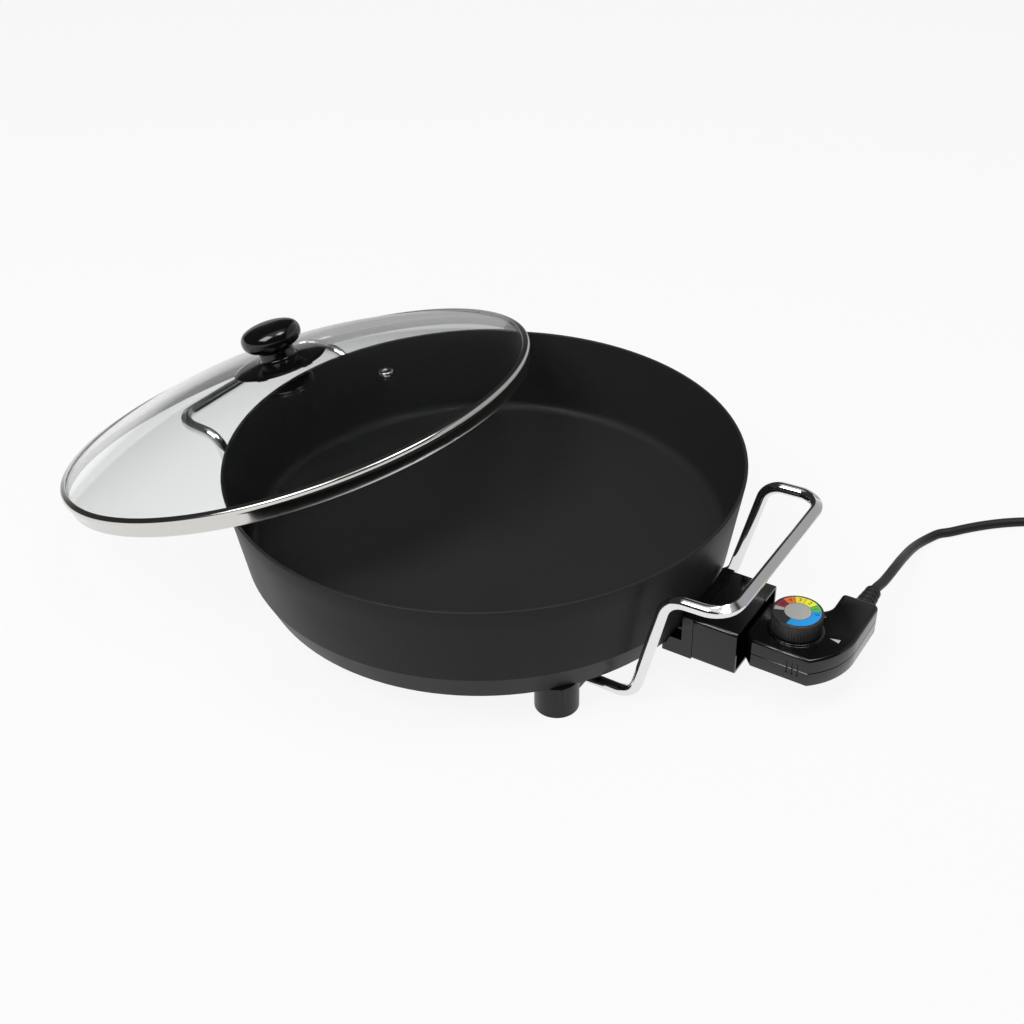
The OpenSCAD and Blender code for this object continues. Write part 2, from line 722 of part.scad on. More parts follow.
// Steel tube with a closed round tip. A flange holds it behind the nose.
module probe_tube() {
    color(steel) along_x(0, 0, pin_z) difference() {
        union() {
            translate([0, 0, probe_tip_x + 1]) cylinder(h = flange_x + 6 - probe_tip_x, r = probe_r);
            translate([0, 0, probe_tip_x]) cylinder(h = 1, r1 = probe_r - 1, r2 = probe_r);
            translate([0, 0, flange_x]) cylinder(h = 1.5, r = probe_r + 1.2);
        }
        translate([0, 0, probe_tip_x + 3]) cylinder(h = 200, r = probe_r - 0.8);
    }
}

module probe_rod() {
    color(ceramic) along_x(probe_tip_x + 3, 0, pin_z)
        cylinder(h = flange_x + 9 - probe_tip_x - 3, r = probe_r - 1.6);
}

module female_contacts() {
    x0 = nose_x + shell_t + 0.3;
    color(brass) for (s = [-1, 1]) along_x(x0, s * pin_y, pin_z) difference() {
        cylinder(h = nose_len - 6, r = pin_d / 2 + 0.9);
        translate([0, 0, -1]) cylinder(h = nose_len - 9, r = pin_d / 2 + fit_gap);
    }
}

// Steel C frame on the bottom shell. The dial's screw runs in its upper leg.
module thermostat_frame() {
    x0 = dial_axis_x - 9;
    x1 = dial_axis_x + 13;
    z0 = body_bottom + shell_t + 0.05;
    z1 = body_top - shell_t - 3;
    t = 1.2;
    color(steel) difference() {
        union() {
            translate([x0, -7, z0]) cube([x1 - x0, 14, t]);
            translate([x1 - t, -7, z0]) cube([t, 14, z1 - z0]);
            translate([x0, -7, z1 - t]) cube([x1 - x0, 14, t]);
        }
        translate([dial_axis_x, 0, z1 - 5]) cylinder(h = 10, r = shaft_r + shaft_gap);
    }
}

module ceramic_stack() {
    z0 = body_bottom + shell_t + 0.05 + 1.2;
    color(ceramic) translate([dial_axis_x + 5, -5, z0]) cube([6.5, 10, 6]);
}

// Two spring blades, bolted through the stack, that open as the probe heats up.
module contact_blades() {
    z0 = body_bottom + shell_t + 0.05 + 1.2 + 6;
    color(brass) {
        translate([dial_axis_x - 12, -3, z0 + 0.02]) cube([23, 6, 0.5]);
        translate([dial_axis_x - 12, -1.2, z0 + 0.5]) cube([2.4, 2.4, 0.9]);
        translate([dial_axis_x + 5, -3, z0 + 0.5]) cube([6, 6, 1.5]);
        translate([dial_axis_x - 10, -3, z0 + 1.9]) cube([21, 6, 0.5]);
    }
}

// Insulated leads from the cord's end to the two contacts.
module control_leads() {
    lead_r = 1;
    from_x = nose_x + shell_t + 0.3 + nose_len - 6;
    end_y = arm_end_y - shell_t - 8.1;
    color("#8a3b24") for (s = [-1, 1]) {
        run_x = arm_mid_x - 4.1 - 2.2 * s;
        end_x = arm_mid_x - 2.2 * s;
        tube(wire_path([
            [from_x, s * pin_y, pin_z], [run_x, s * pin_y, pin_z],
            [run_x, end_y - 11, pin_z], [end_x, end_y - 5, pin_z], [end_x, end_y, pin_z]],
            [4, 4, 4]), lead_r, 8);
    }
}

lens_r = 1.2;
module lamp_place() { translate([arm_x - 1, body_w / 2 - 3.6, 0]) children(); }

module lamp_lens() {
    color("#b03020") lamp_place() translate([0, 0, body_top - shell_t - 0.1])
        cylinder(h = shell_t + 0.4, r = lens_r);
}

module pilot_lamp() {
    color("#d8d2c4") lamp_place() translate([0, 0, body_bottom + shell_t + 0.05])
        cylinder(h = body_h - 2 * shell_t - 0.3, r = 2);
}

module pointer_outline() {
    tip = dial_axis_x + dial_d / 2 + 5.4;
    polygon([[tip, 2.6], [tip + 6.8, 0.7], [tip + 6.8, 4.3]]);
}

module pointer_mark() {
    color("#9a9a98") translate([0, 0, body_top - 0.5]) linear_extrude(0.55)
        offset(delta = -0.05) pointer_outline();
}

relief_neck_r = 4.6;
relief_r = 7.3;
relief_end_y = arm_end_y + relief_len;

// Ribbed sleeve of soft plastic round the cord where it leaves the arm.
module strain_relief() {
    tip_r = cord_d / 2 + 2;
    ribs = 4;
    step = (relief_len - 4) / ribs;
    color(black_plastic) translate([arm_mid_x, arm_end_y, pin_z]) rotate([-90, 0, 0])
        rotate_extrude() polygon(concat(
            [[0, -shell_t - 8], [relief_neck_r - 0.8, -shell_t - 8],
             [relief_neck_r - 0.8, -shell_t - 3.1],
             [relief_neck_r + 1.5, -shell_t - 3.1], [relief_neck_r + 1.5, -shell_t - 0.1],
             [relief_neck_r, -shell_t - 0.1], [relief_neck_r, 0.1], [relief_r, 0.1]],
            [for (i = [0:ribs - 1]) let(
                r = relief_r + (tip_r - relief_r) * i / ribs, z = i * step)
                each [[r, z + step * 0.6], [r - 1.2, z + step * 0.7], [r - 1.2, z + step * 0.95],
                      [r - 0.2, z + step]]],
            [[tip_r, relief_len], [0, relief_len]]));
}

// ---- Dial --------------------------------------------------------------
module dial_knob() {
    r = dial_d / 2;
    rib = 0.5;
    color(black_plastic) translate([dial_axis_x, 0, dial_z]) difference() {
        union() {
            cylinder(h = dial_h, r = r - rib);
            translate([0, 0, dial_h - 1.6]) cylinder(h = 1.6, r = r);
            linear_extrude(dial_h - 1) for (i = [0:dial_ribs - 1])
                rotate(i * 360 / dial_ribs) translate([r - rib - 0.5, -0.45])
                    square([rib + 0.5, 0.9]);
        }
        translate([0, 0, dial_h - 0.5]) cylinder(h = 1, r = r - 1.2);
        translate([0, 0, -1]) cylinder(h = dial_h - 2, r = shaft_r + screw_gap);
    }
}

module dial_face() {
    color("#9a9a98") translate([dial_axis_x, 0, dial_z + dial_h - 0.5])
        cylinder(h = 0.4, r = dial_d / 2 - 1.3);
}

module dial_shaft() {
    low_z = body_bottom + shell_t + 1.3 + 6 + 3.2;
    color(brass) translate([dial_axis_x, 0, low_z])
        cylinder(h = dial_z + dial_h - 3.2 - low_z, r = shaft_r);
}

// ---- Cord, coil and plug -----------------------------------------------
// Where the cord runs: out of the strain relief, down to the table and along it.
cord_r = cord_d / 2;
lay_z = table_z + cord_r;
tie_t = 0.9;
coil_z = lay_z + tie_t + 0.1;
coil_heading = 10;
coil_start = [368, 272, coil_z];
cord_route = concat(
    [[arm_mid_x, relief_end_y, pin_z]],
    [for (p = [
        [0, 3.5, -0.12], [0.2, 8.5, -0.95], [0.8, 18.5, -3], [0.8, 30.5, -4.9], [0.4, 44.5, -7.6],
        [-0.6, 59.5, -11.8], [-1.8, 74.5, -17.2], [-2.6, 90.5, -22.6], [-2.2, 106.5, -27.5],
        [0.6, 120.5, -30.3], [5.4, 131.5, -30.75]])
        [arm_mid_x + p.x, relief_end_y + p.y, pin_z + p.z * (pin_z - lay_z) / 30.75]],
    [[272, 214, lay_z], [282, 226, lay_z], [293, 237.5, lay_z], [305, 248, lay_z],
     [318, 257, lay_z], [332, 263.5, lay_z], [346, 268, lay_z + 0.5],
     coil_start - 9 * [cos(coil_heading), sin(coil_heading), 0], coil_start]);

coil_turns = 4 + (coil_heading + 90) / 360;
turn_pitch = cord_d + turn_gap;
layer_turns = (coil_turns - 0.5) / 2;
coil_out_r = coil_r + turn_pitch * layer_turns / 2;
coil_mid = coil_start
    + cord_d * [cos(coil_heading), sin(coil_heading), 0]
    + coil_out_r * [sin(coil_heading), -cos(coil_heading), 0];

// Radius and height of the spiral after t turns: in, up a layer, and out again.
function spiral_r(t) = coil_out_r - turn_pitch * min(t, coil_turns - t);
function spiral_z(t) = coil_z + turn_pitch * max(0, min(1, 2 * (t - layer_turns)));
function spiral_point(t) = let(a = 90 + coil_heading - 360 * t)
    [coil_mid.x + spiral_r(t) * cos(a), coil_mid.y + spiral_r(t) * sin(a), spiral_z(t)];

rings_per_turn = 24;
coil_rings = floor(coil_turns * rings_per_turn);
coil_end_heading = coil_heading - 360 * coil_turns;
coil_points = concat(
    [coil_start],
    [for (i = [0:coil_rings]) spiral_point(i * coil_turns / coil_rings)],
    [spiral_point(coil_turns) + cord_d * [cos(coil_end_heading), sin(coil_end_heading), 0]]);
coil_end = coil_points[len(coil_points) - 1];

plug_r = plug_d / 2;
plug_z = table_z + plug_r;
tail_rise = plug_z - coil_end.z;
tail_route = [for (p = [[0, 0, 0], [0, -9, 0], [0, -18, 0.2], [0, -29, 0.8],
                        [0, -39, 1], [0, -49, 1]])
    coil_end + [p.x, p.y, p.z * tail_rise]];
plug_start = tail_route[len(tail_route) - 1];

function path_length(points) =
    let(steps = [for (i = [1:len(points) - 1]) norm(points[i] - points[i - 1])])
    steps * [for (s = steps) 1];

// Least distance between two stretches that lie more than a quarter turn apart.
function to_segment(p, a, b) = let(
    t = max(0, min(1, (p - a) * (b - a) / ((b - a) * (b - a)))))
    norm(p - a - t * (b - a));
coil_self_gap = min([
    for (i = [0:coil_rings], j = [i + rings_per_turn / 4:coil_rings])
        to_segment(coil_points[i], coil_points[j], coil_points[j + 1])]) - cord_d;

union() {
    echo(coil_least_gap = coil_self_gap);
    echo(cord_length = path_length(cord_route) + path_length(coil_points) + path_length(tail_route));
    echo(lid_tilt = lid_tilt, lid_z = lid_z);
    echo(plug_face = [plug_start.x, plug_start.y - plug_len, plug_z]);
}

module cord_free() { color(black_plastic) tube(cord_route, cord_r, 10); }
module cord_coil() { color(black_plastic) tube(coil_points, cord_r, 6); }
module cord_tail() { color(black_plastic) tube(tail_route, cord_r, 10); }

// Strap round the bundle of turns.
module cord_tie() {
    inner = coil_out_r - turn_pitch * layer_turns - cord_r - 0.4;
    outer = coil_out_r + cord_r + 0.4;
    h = coil_z + turn_pitch + cord_r + 0.4 - table_z - tie_t;
    color("#3a3a3a") translate([coil_mid.x, coil_mid.y, table_z]) rotate([0, 0, 196])
        rotate_extrude(angle = 9) difference() {
            translate([inner - tie_t, 0]) square([outer - inner + 2 * tie_t, h + 2 * tie_t]);
            translate([inner, tie_t]) square([outer - inner, h]);
        }
}

plug_len = 58;
clip_len = plug_pin_len * 0.7;
pin_root = 11;
pin_root_r = plug_pin_d / 2 - 0.4;
pin_tip = 0.8;
module at_plug() {
    translate([plug_start.x, plug_start.y, plug_z]) rotate([90, 0, 0]) children();
}

// Moulded round plug, lying on its side.
module plug_body() {
    relief = 22;
    neck_r = cord_r + 1.2;
    color(black_plastic) at_plug() difference() {
        rotate_extrude() polygon(concat(
            [[0, 0], [neck_r, 0], [neck_r + 2, relief], [plug_r * 0.62, relief + 3]],
            [[plug_r * 0.72, relief + 12], [plug_r * 0.96, relief + 18], [plug_r, relief + 21]],
            [[plug_r, plug_len - 1], [plug_r - 1, plug_len], [0, plug_len]]));
        for (s = [-1, 1]) translate([s * plug_pin_pitch / 2, 0, plug_len - pin_root])
            cylinder(h = pin_root + 1, r = pin_root_r + screw_gap);
        for (s = [0, 180]) rotate([0, 0, s]) translate([-3.5, plug_r - 3, plug_len - clip_len - 0.7])
            cube([7, 5, clip_len + 2]);
    }
}

// Each pin has a thinner root inside the plug and a small chamfer at its end.
module plug_pins() {
    color(steel) at_plug() for (s = [-1, 1])
        translate([s * plug_pin_pitch / 2, 0, plug_len]) {
            translate([0, 0, 0.1 - pin_root]) cylinder(h = pin_root, r = pin_root_r);
            cylinder(h = plug_pin_len - pin_tip, d = plug_pin_d);
            translate([0, 0, plug_pin_len - pin_tip])
                cylinder(h = pin_tip, d1 = plug_pin_d, d2 = plug_pin_d - 2 * pin_tip);
        }
}

module plug_earth_clips() {
    color(steel) at_plug() for (s = [0, 180]) rotate([0, 0, s])
        translate([-2, plug_r - 3 + screw_gap, plug_len - clip_len - 0.6]) cube([4, 1, clip_len]);
}

pan_body();
heating_element();
element_clamps();
contact_pins();
pin_insulators();
guard_bracket();
guard_sleeve();
guard_screws();
earth_strip();
foot_right_front();
foot_right_rear();
foot_left_front();
foot_left_rear();
foot_screws();
handle_right();
handle_left();
lid_glass();
lid_rim();
lid_knob();
knob_base();
knob_washer();
knob_screw();
vent_eyelet();
control_top();
control_bottom();
control_screws();
probe_tube();
probe_rod();
female_contacts();
thermostat_frame();
ceramic_stack();
contact_blades();
control_leads();
pilot_lamp();
lamp_lens();
pointer_mark();
strain_relief();
dial_knob();
dial_face();
dial_shaft();
cord_free();
cord_coil();
cord_tail();
cord_tie();
plug_body();
plug_pins();
plug_earth_clips();
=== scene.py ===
import json
import math

import bmesh
import bpy
from mathutils import Matrix, Vector


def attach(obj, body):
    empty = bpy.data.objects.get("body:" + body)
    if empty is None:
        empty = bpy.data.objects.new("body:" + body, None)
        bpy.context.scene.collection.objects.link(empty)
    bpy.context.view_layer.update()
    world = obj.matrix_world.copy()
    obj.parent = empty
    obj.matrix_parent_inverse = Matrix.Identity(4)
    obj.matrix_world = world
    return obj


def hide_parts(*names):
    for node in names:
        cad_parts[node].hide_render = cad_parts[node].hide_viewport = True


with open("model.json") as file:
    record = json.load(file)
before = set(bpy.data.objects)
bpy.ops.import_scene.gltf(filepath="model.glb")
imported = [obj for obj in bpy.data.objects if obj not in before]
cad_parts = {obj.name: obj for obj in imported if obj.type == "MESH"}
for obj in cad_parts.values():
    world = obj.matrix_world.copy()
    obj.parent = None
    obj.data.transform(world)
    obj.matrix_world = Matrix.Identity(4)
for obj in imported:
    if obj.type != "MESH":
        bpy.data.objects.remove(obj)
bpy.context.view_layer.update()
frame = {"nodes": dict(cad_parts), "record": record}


# ---- Camera ------------------------------------------------------------
# The photograph looks down at about 35 degrees, from beyond the corner
# between the skillet's front and its control, with a slightly long lens.
eye = Vector((0.46774, -0.68070, 0.57944))
pitch, heading, roll = 0.6026, -0.5808, -0.0245
picture_px, focal_px, sensor_mm = 1024, 1409.4, 36
ahead = Vector((math.sin(heading) * math.cos(pitch), math.cos(heading) * math.cos(pitch),
                -math.sin(pitch)))
level = ahead.cross(Vector((0, 0, 1))).normalized()
upright = level.cross(ahead)
across = math.cos(roll) * level + math.sin(roll) * upright
upward = math.cos(roll) * upright - math.sin(roll) * level
camera = bpy.data.objects.new("camera", bpy.data.cameras.new("camera"))
camera.data.sensor_fit = "HORIZONTAL"
camera.data.sensor_width = sensor_mm
camera.data.lens = focal_px / picture_px * sensor_mm
camera.matrix_world = (Matrix.Translation(eye)
                       @ Matrix((across, upward, -ahead)).transposed().to_4x4())
bpy.context.scene.collection.objects.link(camera)
bpy.context.scene.camera = camera


# ---- Mains cord --------------------------------------------------------
# Round black lead in soft vinyl. It leaves the control, sinks to the table
# and runs off to a small coil of the length that isn't in use, then its plug.
MM = 0.001
table_z = -40.5


def finish_for(name, colour, roughness, vary=0.12, grain=900.0, bump=0.15, depth=0.00003,
               rough_vary=0.06, stretch=(1, 1, 1), **sockets):
    """A moulded, cast or plated finish with a fine grain and a slow change of gloss."""
    material = bpy.data.materials.new(name)
    material.use_nodes = True
    nodes, links = material.node_tree.nodes, material.node_tree.links
    shader = nodes["Principled BSDF"]
    for socket, value in sockets.items():
        shader.inputs[socket.replace("_", " ")].default_value = value
    place = nodes.new("ShaderNodeTexCoord")
    mapping = nodes.new("ShaderNodeMapping")
    mapping.inputs["Scale"].default_value = stretch
    links.new(place.outputs["Object"], mapping.inputs["Vector"])
    fine = nodes.new("ShaderNodeTexNoise")
    fine.inputs["Scale"].default_value = grain
    fine.inputs["Detail"].default_value = 4
    links.new(mapping.outputs["Vector"], fine.inputs["Vector"])
    slow = nodes.new("ShaderNodeTexNoise")
    slow.inputs["Scale"].default_value = 14
    slow.inputs["Detail"].default_value = 3
    links.new(mapping.outputs["Vector"], slow.inputs["Vector"])
    tone = nodes.new("ShaderNodeMix")
    tone.data_type = "RGBA"
    tone.inputs["A"].default_value = (*[c * (1 - vary) for c in colour], 1)
    tone.inputs["B"].default_value = (*[min(1, c * (1 + vary)) for c in colour], 1)
    links.new(fine.outputs["Fac"], tone.inputs["Factor"])
    links.new(tone.outputs["Result"], shader.inputs["Base Color"])
    gloss = nodes.new("ShaderNodeMapRange")
    gloss.inputs["From Min"].default_value = 0.3
    gloss.inputs["From Max"].default_value = 0.7
    gloss.inputs["To Min"].default_value = max(0.01, roughness - rough_vary)
    gloss.inputs["To Max"].default_value = min(1, roughness + rough_vary)
    links.new(slow.outputs["Fac"], gloss.inputs["Value"])
    links.new(gloss.outputs["Result"], shader.inputs["Roughness"])
    if bump:
        relief = nodes.new("ShaderNodeBump")
        relief.inputs["Strength"].default_value = bump
        relief.inputs["Distance"].default_value = depth
        links.new(fine.outputs["Fac"], relief.inputs["Height"])
        links.new(relief.outputs["Normal"], shader.inputs["Normal"])
    return material


def smooth_by_angle(mesh, degrees=32):
    """Smooth shading that keeps the edges sharper than this angle."""
    shape = bmesh.new()
    shape.from_mesh(mesh)
    for face in shape.faces:
        face.smooth = True
    for edge in shape.edges:
        edge.smooth = edge.calc_face_angle(0) < math.radians(degrees)
    shape.to_mesh(mesh)
    shape.free()


def dressed(node, material, name=None, merge=0.00001, bevel=0.0, segments=3, degrees=32):
    """A merged copy of a CAD node's mesh with eased edges, which stands for that node."""
    source = frame["nodes"][node]
    mesh = source.data.copy()
    shape = bmesh.new()
    shape.from_mesh(mesh)
    bmesh.ops.remove_doubles(shape, verts=shape.verts, dist=merge)
    bmesh.ops.dissolve_degenerate(shape, edges=shape.edges, dist=merge)
    if bevel:
        bmesh.ops.dissolve_limit(shape, angle_limit=math.radians(0.6), verts=shape.verts,
                                 edges=shape.edges, use_dissolve_boundaries=False)
    shape.to_mesh(mesh)
    shape.free()
    piece = bpy.data.objects.new(name or node + "_piece", mesh)
    bpy.context.scene.collection.objects.link(piece)
    mesh.materials.clear()
    mesh.materials.append(material)
    for polygon in mesh.polygons:
        polygon.material_index = 0
    smooth_by_angle(mesh, degrees)
    if bevel:
        ease = piece.modifiers.new("ease", "BEVEL")
        ease.width = bevel
        ease.segments = segments
        ease.limit_method = "ANGLE"
        ease.angle_limit = math.radians(degrees)
        ease.harden_normals = True
    body = next(b for b, names in frame["record"]["behaviour"]["bodies"].items() if node in names)
    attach(piece, body)
    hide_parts(node)
    return piece


cord_d, tie_room = 7, 1.0
lay_z = table_z + cord_d / 2
coil_z = lay_z + tie_room
arm_mid_x, arm_end, relief_len, pin_z = 259.9, 51.5, 24, -6.5
relief_end = Vector((arm_mid_x, arm_end + relief_len, pin_z))


def smooth_line(points, steps=6):
    """Points of a smooth curve that passes through these points."""
    ends = [2 * points[0] - points[1], *points, 2 * points[-1] - points[-2]]
    line = []
    for i in range(1, len(ends) - 2):
        a, b, c, d = ends[i - 1:i + 3]
        for k in range(steps):
            t = k / steps
            line.append(0.5 * (2 * b + (c - a) * t + (2 * a - 5 * b + 4 * c - d) * t ** 2
                               + (3 * b - a - 3 * c + d) * t ** 3))
    return line + [points[-1]]


coil_heading = math.radians(10)
coil_start = Vector((368, 272, coil_z))
coil_way = Vector((math.cos(coil_heading), math.sin(coil_heading), 0))
droop = [(0, 0, 0), (0, 3.5, -0.12), (0.2, 8.5, -0.95), (0.8, 18.5, -3), (0.8, 30.5, -4.9),
         (0.4, 44.5, -7.5), (-0.6, 59.5, -11.7), (-1.8, 74.5, -17.1), (-2.6, 90.5, -22.4),
         (-2.2, 106.5, -27.3), (0.6, 120.5, -30.05), (5.4, 131.5, -30.5)]
on_table = [(272, 214), (282, 226), (293, 237.5), (305, 248), (318, 257), (332, 263.5)]
free_run = ([relief_end + Vector(p) for p in droop]
            + [Vector((x, y, lay_z)) for x, y in on_table]
            + [Vector((346, 268, lay_z + 0.5)), coil_start - 9 * coil_way, coil_start])

turn_pitch = cord_d + 0.7
coil_turns = 4 + 100 / 360
layer_turns = (coil_turns - 0.5) / 2
coil_out = 36 + turn_pitch * layer_turns / 2
coil_mid = (coil_start + cord_d * coil_way
            + coil_out * Vector((math.sin(coil_heading), -math.cos(coil_heading), 0)))
coil_run = []
for i in range(int(60 * coil_turns) + 1):
    t = i / int(60 * coil_turns) * coil_turns
    r = coil_out - turn_pitch * min(t, coil_turns - t)
    a = math.radians(100) - 2 * math.pi * t
    rise = turn_pitch * max(0, min(1, 2 * (t - layer_turns)))
    coil_run.append(Vector((coil_mid.x + r * math.cos(a), coil_mid.y + r * math.sin(a),
                            coil_z + rise)))
coil_end = coil_run[-1] + Vector((0, -cord_d, 0))
plug_d, tail_len = 37, 49
plug_z = table_z + plug_d / 2
plug_rise = plug_z - coil_end.z
tail_run = [coil_end + Vector((0, y, share * plug_rise)) for y, share in
            [(0, 0), (-9, 0), (-18, 0.2), (-29, 0.8), (-39, 1), (-tail_len, 1)]]
cord_line = smooth_line(free_run) + coil_run + smooth_line(tail_run)
cord_data = bpy.data.curves.new("mains_cord", "CURVE")
cord_data.dimensions = "3D"
cord_data.bevel_depth = cord_d / 2 * MM
cord_data.bevel_resolution = 5
cord_data.use_fill_caps = True
spline = cord_data.splines.new("POLY")
spline.points.add(len(cord_line) - 1)
for point, place in zip(spline.points, cord_line):
    point.co = (*(place * MM), 1)
mains_cord = bpy.data.objects.new("mains_cord", cord_data)
bpy.context.scene.collection.objects.link(mains_cord)
vinyl = finish_for("soft_black_vinyl", (0.014, 0.014, 0.0145), 0.42, grain=2600, bump=0.25,
                   Specular_IOR_Level=0.3)
cord_data.materials.append(vinyl)
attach(mains_cord, "control")
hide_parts("cord_free", "cord_coil", "cord_tail")


# ---- Mains plug --------------------------------------------------------
# Round earthed plug, moulded in one with the cord in the same vinyl. Two
# turned and plated pins stand in its face, with a brass clip at either side.
def turned(name, profile, material, segments=192, place=Matrix(), closed=False, degrees=32):
    """A solid of revolution. The profile is (radius, height) in mm round local +Z."""
    shape = bmesh.new()
    rings = []
    for r, z in profile:
        if r < 1e-6:
            rings.append([shape.verts.new((0, 0, z * MM))])
        else:
            rings.append([shape.verts.new((r * MM * math.cos(2 * math.pi * k / segments),
                                           r * MM * math.sin(2 * math.pi * k / segments), z * MM))
                          for k in range(segments)])
    for low, high in zip(rings, rings[1:] + (rings[:1] if closed else [])):
        for k in range(segments):
            n = (k + 1) % segments
            corners = list(dict.fromkeys([low[k % len(low)], low[n % len(low)],
                                          high[n % len(high)], high[k % len(high)]]))
            if len(corners) > 2:
                shape.faces.new(corners)
    bmesh.ops.recalc_face_normals(shape, faces=shape.faces)
    bmesh.ops.transform(shape, matrix=place, verts=shape.verts)
    mesh = bpy.data.meshes.new(name)
    shape.to_mesh(mesh)
    shape.free()
    mesh.materials.append(material)
    smooth_by_angle(mesh, degrees)
    piece = bpy.data.objects.new(name, mesh)
    bpy.context.scene.collection.objects.link(piece)
    return piece


def rounded(x, y, r, start, end, steps=6):
    """Profile points on a quarter or other arc about (x, y)."""
    return [(x + r * math.cos(math.radians(start + (end - start) * i / steps)),
             y + r * math.sin(math.radians(start + (end - start) * i / steps)))
            for i in range(steps + 1)]


plug_place = (Matrix.Translation(Vector((coil_end.x, coil_end.y - tail_len, plug_z)) * MM)
              @ Matrix.Rotation(math.radians(90), 4, "X"))
plug_profile = [(0, 0), (4.4, 0), (4.6, 0.4)]
for i in range(5):
    z = 2 + 4 * i
    plug_profile += [(4.7 + 0.3 * i, z), (4.25 + 0.3 * i, z + 0.5), (4.25 + 0.3 * i, z + 1.6),
                     (4.85 + 0.3 * i, z + 2.1)]
plug_profile += [(6.2, 22), (10.5, 24.2), (11.6, 26), (12.6, 31), (13.8, 34.5), (16.2, 38.4),
                 (17.8, 41), (18.4, 43), (18.4, 56.6), *rounded(17.4, 57, 1, 0, 90, 4), (0, 58)]
plug_body = turned("plug_body_piece", plug_profile, vinyl, 96, plug_place)
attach(plug_body, "control")
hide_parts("plug_body")
plated = finish_for("bright_nickel", (0.78, 0.77, 0.74), 0.16, vary=0.05, bump=0.05, Metallic=1.0)
plug_pins = dressed("plug_pins", plated)
plug_clips = dressed("plug_earth_clips", finish_for("satin_brass", (0.72, 0.53, 0.24), 0.3,
                                                    Metallic=1.0), bevel=0.15)
tie = dressed("cord_tie", finish_for("black_strap", (0.03, 0.03, 0.03), 0.5, grain=3000,
                                     bump=0.4), bevel=0.2)


# ---- Pan ---------------------------------------------------------------
# One deep aluminium casting with a leaning wall, a chamfer above its base
# ring and four bosses, coated inside and out with a fine matte black layer.
coat = finish_for("black_release_coating", (0.0178, 0.0178, 0.018), 0.43, vary=0.4, grain=1500,
                  bump=0.4, depth=0.00006, rough_vary=0.05, Specular_IOR_Level=0.12)
pan = dressed("pan_body", coat, name="pan_casting", merge=0.00002, degrees=26)
chamfer_r, chamfer_z = 170.9, 3.5
casting = bmesh.new()
casting.from_mesh(pan.data)
for edge in casting.edges:
    if all(abs(v.co.z - chamfer_z * MM) < 0.0002
           and abs(v.co.xy.length - chamfer_r * MM) < 0.0006 for v in edge.verts):
        edge.smooth = False
casting.to_mesh(pan.data)
casting.free()


# ---- Heating element ---------------------------------------------------
# Sheathed ring under the cooking floor, of oxidised steel tube. Three
# saddles spot-welded to the casting hold it up.
def tree_with(name, sizes):
    """An empty geometry tree with named inputs, and its input and output nodes."""
    tree = bpy.data.node_groups.new(name, "GeometryNodeTree")
    tree.interface.new_socket("Geometry", in_out="INPUT", socket_type="NodeSocketGeometry")
    for label, value in sizes.items():
        kind = "NodeSocketInt" if isinstance(value, int) else "NodeSocketFloat"
        tree.interface.new_socket(label, in_out="INPUT", socket_type=kind).default_value = value
    tree.interface.new_socket("Geometry", in_out="OUTPUT", socket_type="NodeSocketGeometry")
    return tree, tree.nodes.new("NodeGroupInput"), tree.nodes.new("NodeGroupOutput")


def grown(piece, tree, sizes, degrees=32):
    """Runs a geometry tree on a piece and keeps the result as its plain mesh."""
    modifier = piece.modifiers.new("grow", "NODES")
    modifier.node_group = tree
    for item in tree.interface.items_tree:
        if item.in_out == "INPUT" and item.name in sizes:
            modifier[item.identifier] = sizes[item.name]
    bpy.context.view_layer.update()
    result = piece.evaluated_get(bpy.context.evaluated_depsgraph_get())
    mesh = bpy.data.meshes.new_from_object(result)
    piece.modifiers.clear()
    if piece.type == "MESH":
        piece.data = mesh
    else:
        name = piece.name
        bpy.data.objects.remove(piece)
        piece = bpy.data.objects.new(name, mesh)
        bpy.context.scene.collection.objects.link(piece)
    smooth_by_angle(mesh, degrees)
    return piece


def wire_tree(material):
    """Sweeps a round section along the piece's edges, with closed ends."""
    sizes = {"Wire radius": 0.004, "Sides": 32}
    tree, start, end = tree_with("round_wire", sizes)
    nodes, links = tree.nodes, tree.links
    to_curve = nodes.new("GeometryNodeMeshToCurve")
    section = nodes.new("GeometryNodeCurvePrimitiveCircle")
    sweep = nodes.new("GeometryNodeCurveToMesh")
    paint = nodes.new("GeometryNodeSetMaterial")
    real = nodes.new("GeometryNodeRealizeInstances")
    sweep.inputs["Fill Caps"].default_value = True
    paint.inputs["Material"].default_value = material
    links.new(start.outputs["Geometry"], to_curve.inputs["Mesh"])
    links.new(start.outputs["Wire radius"], section.inputs["Radius"])
    links.new(start.outputs["Sides"], section.inputs["Resolution"])
    links.new(to_curve.outputs["Curve"], sweep.inputs["Curve"])
    links.new(section.outputs["Curve"], sweep.inputs["Profile Curve"])
    links.new(sweep.outputs["Mesh"], real.inputs["Geometry"])
    links.new(real.outputs["Geometry"], paint.inputs["Geometry"])
    links.new(paint.outputs["Geometry"], end.inputs["Geometry"])
    return tree


def wire(name, lines, radius, material, sides=32):
    """Round wires or tubes along lines of points in mm."""
    mesh = bpy.data.meshes.new(name)
    points, edges = [], []
    for line in lines:
        first = len(points)
        points += [Vector(p) * MM for p in line]
        edges += [(first + i, first + i + 1) for i in range(len(line) - 1)]
    mesh.from_pydata(points, edges, [])
    piece = bpy.data.objects.new(name, mesh)
    bpy.context.scene.collection.objects.link(piece)
    return grown(piece, wire_tree(material), {"Wire radius": radius * MM, "Sides": sides})


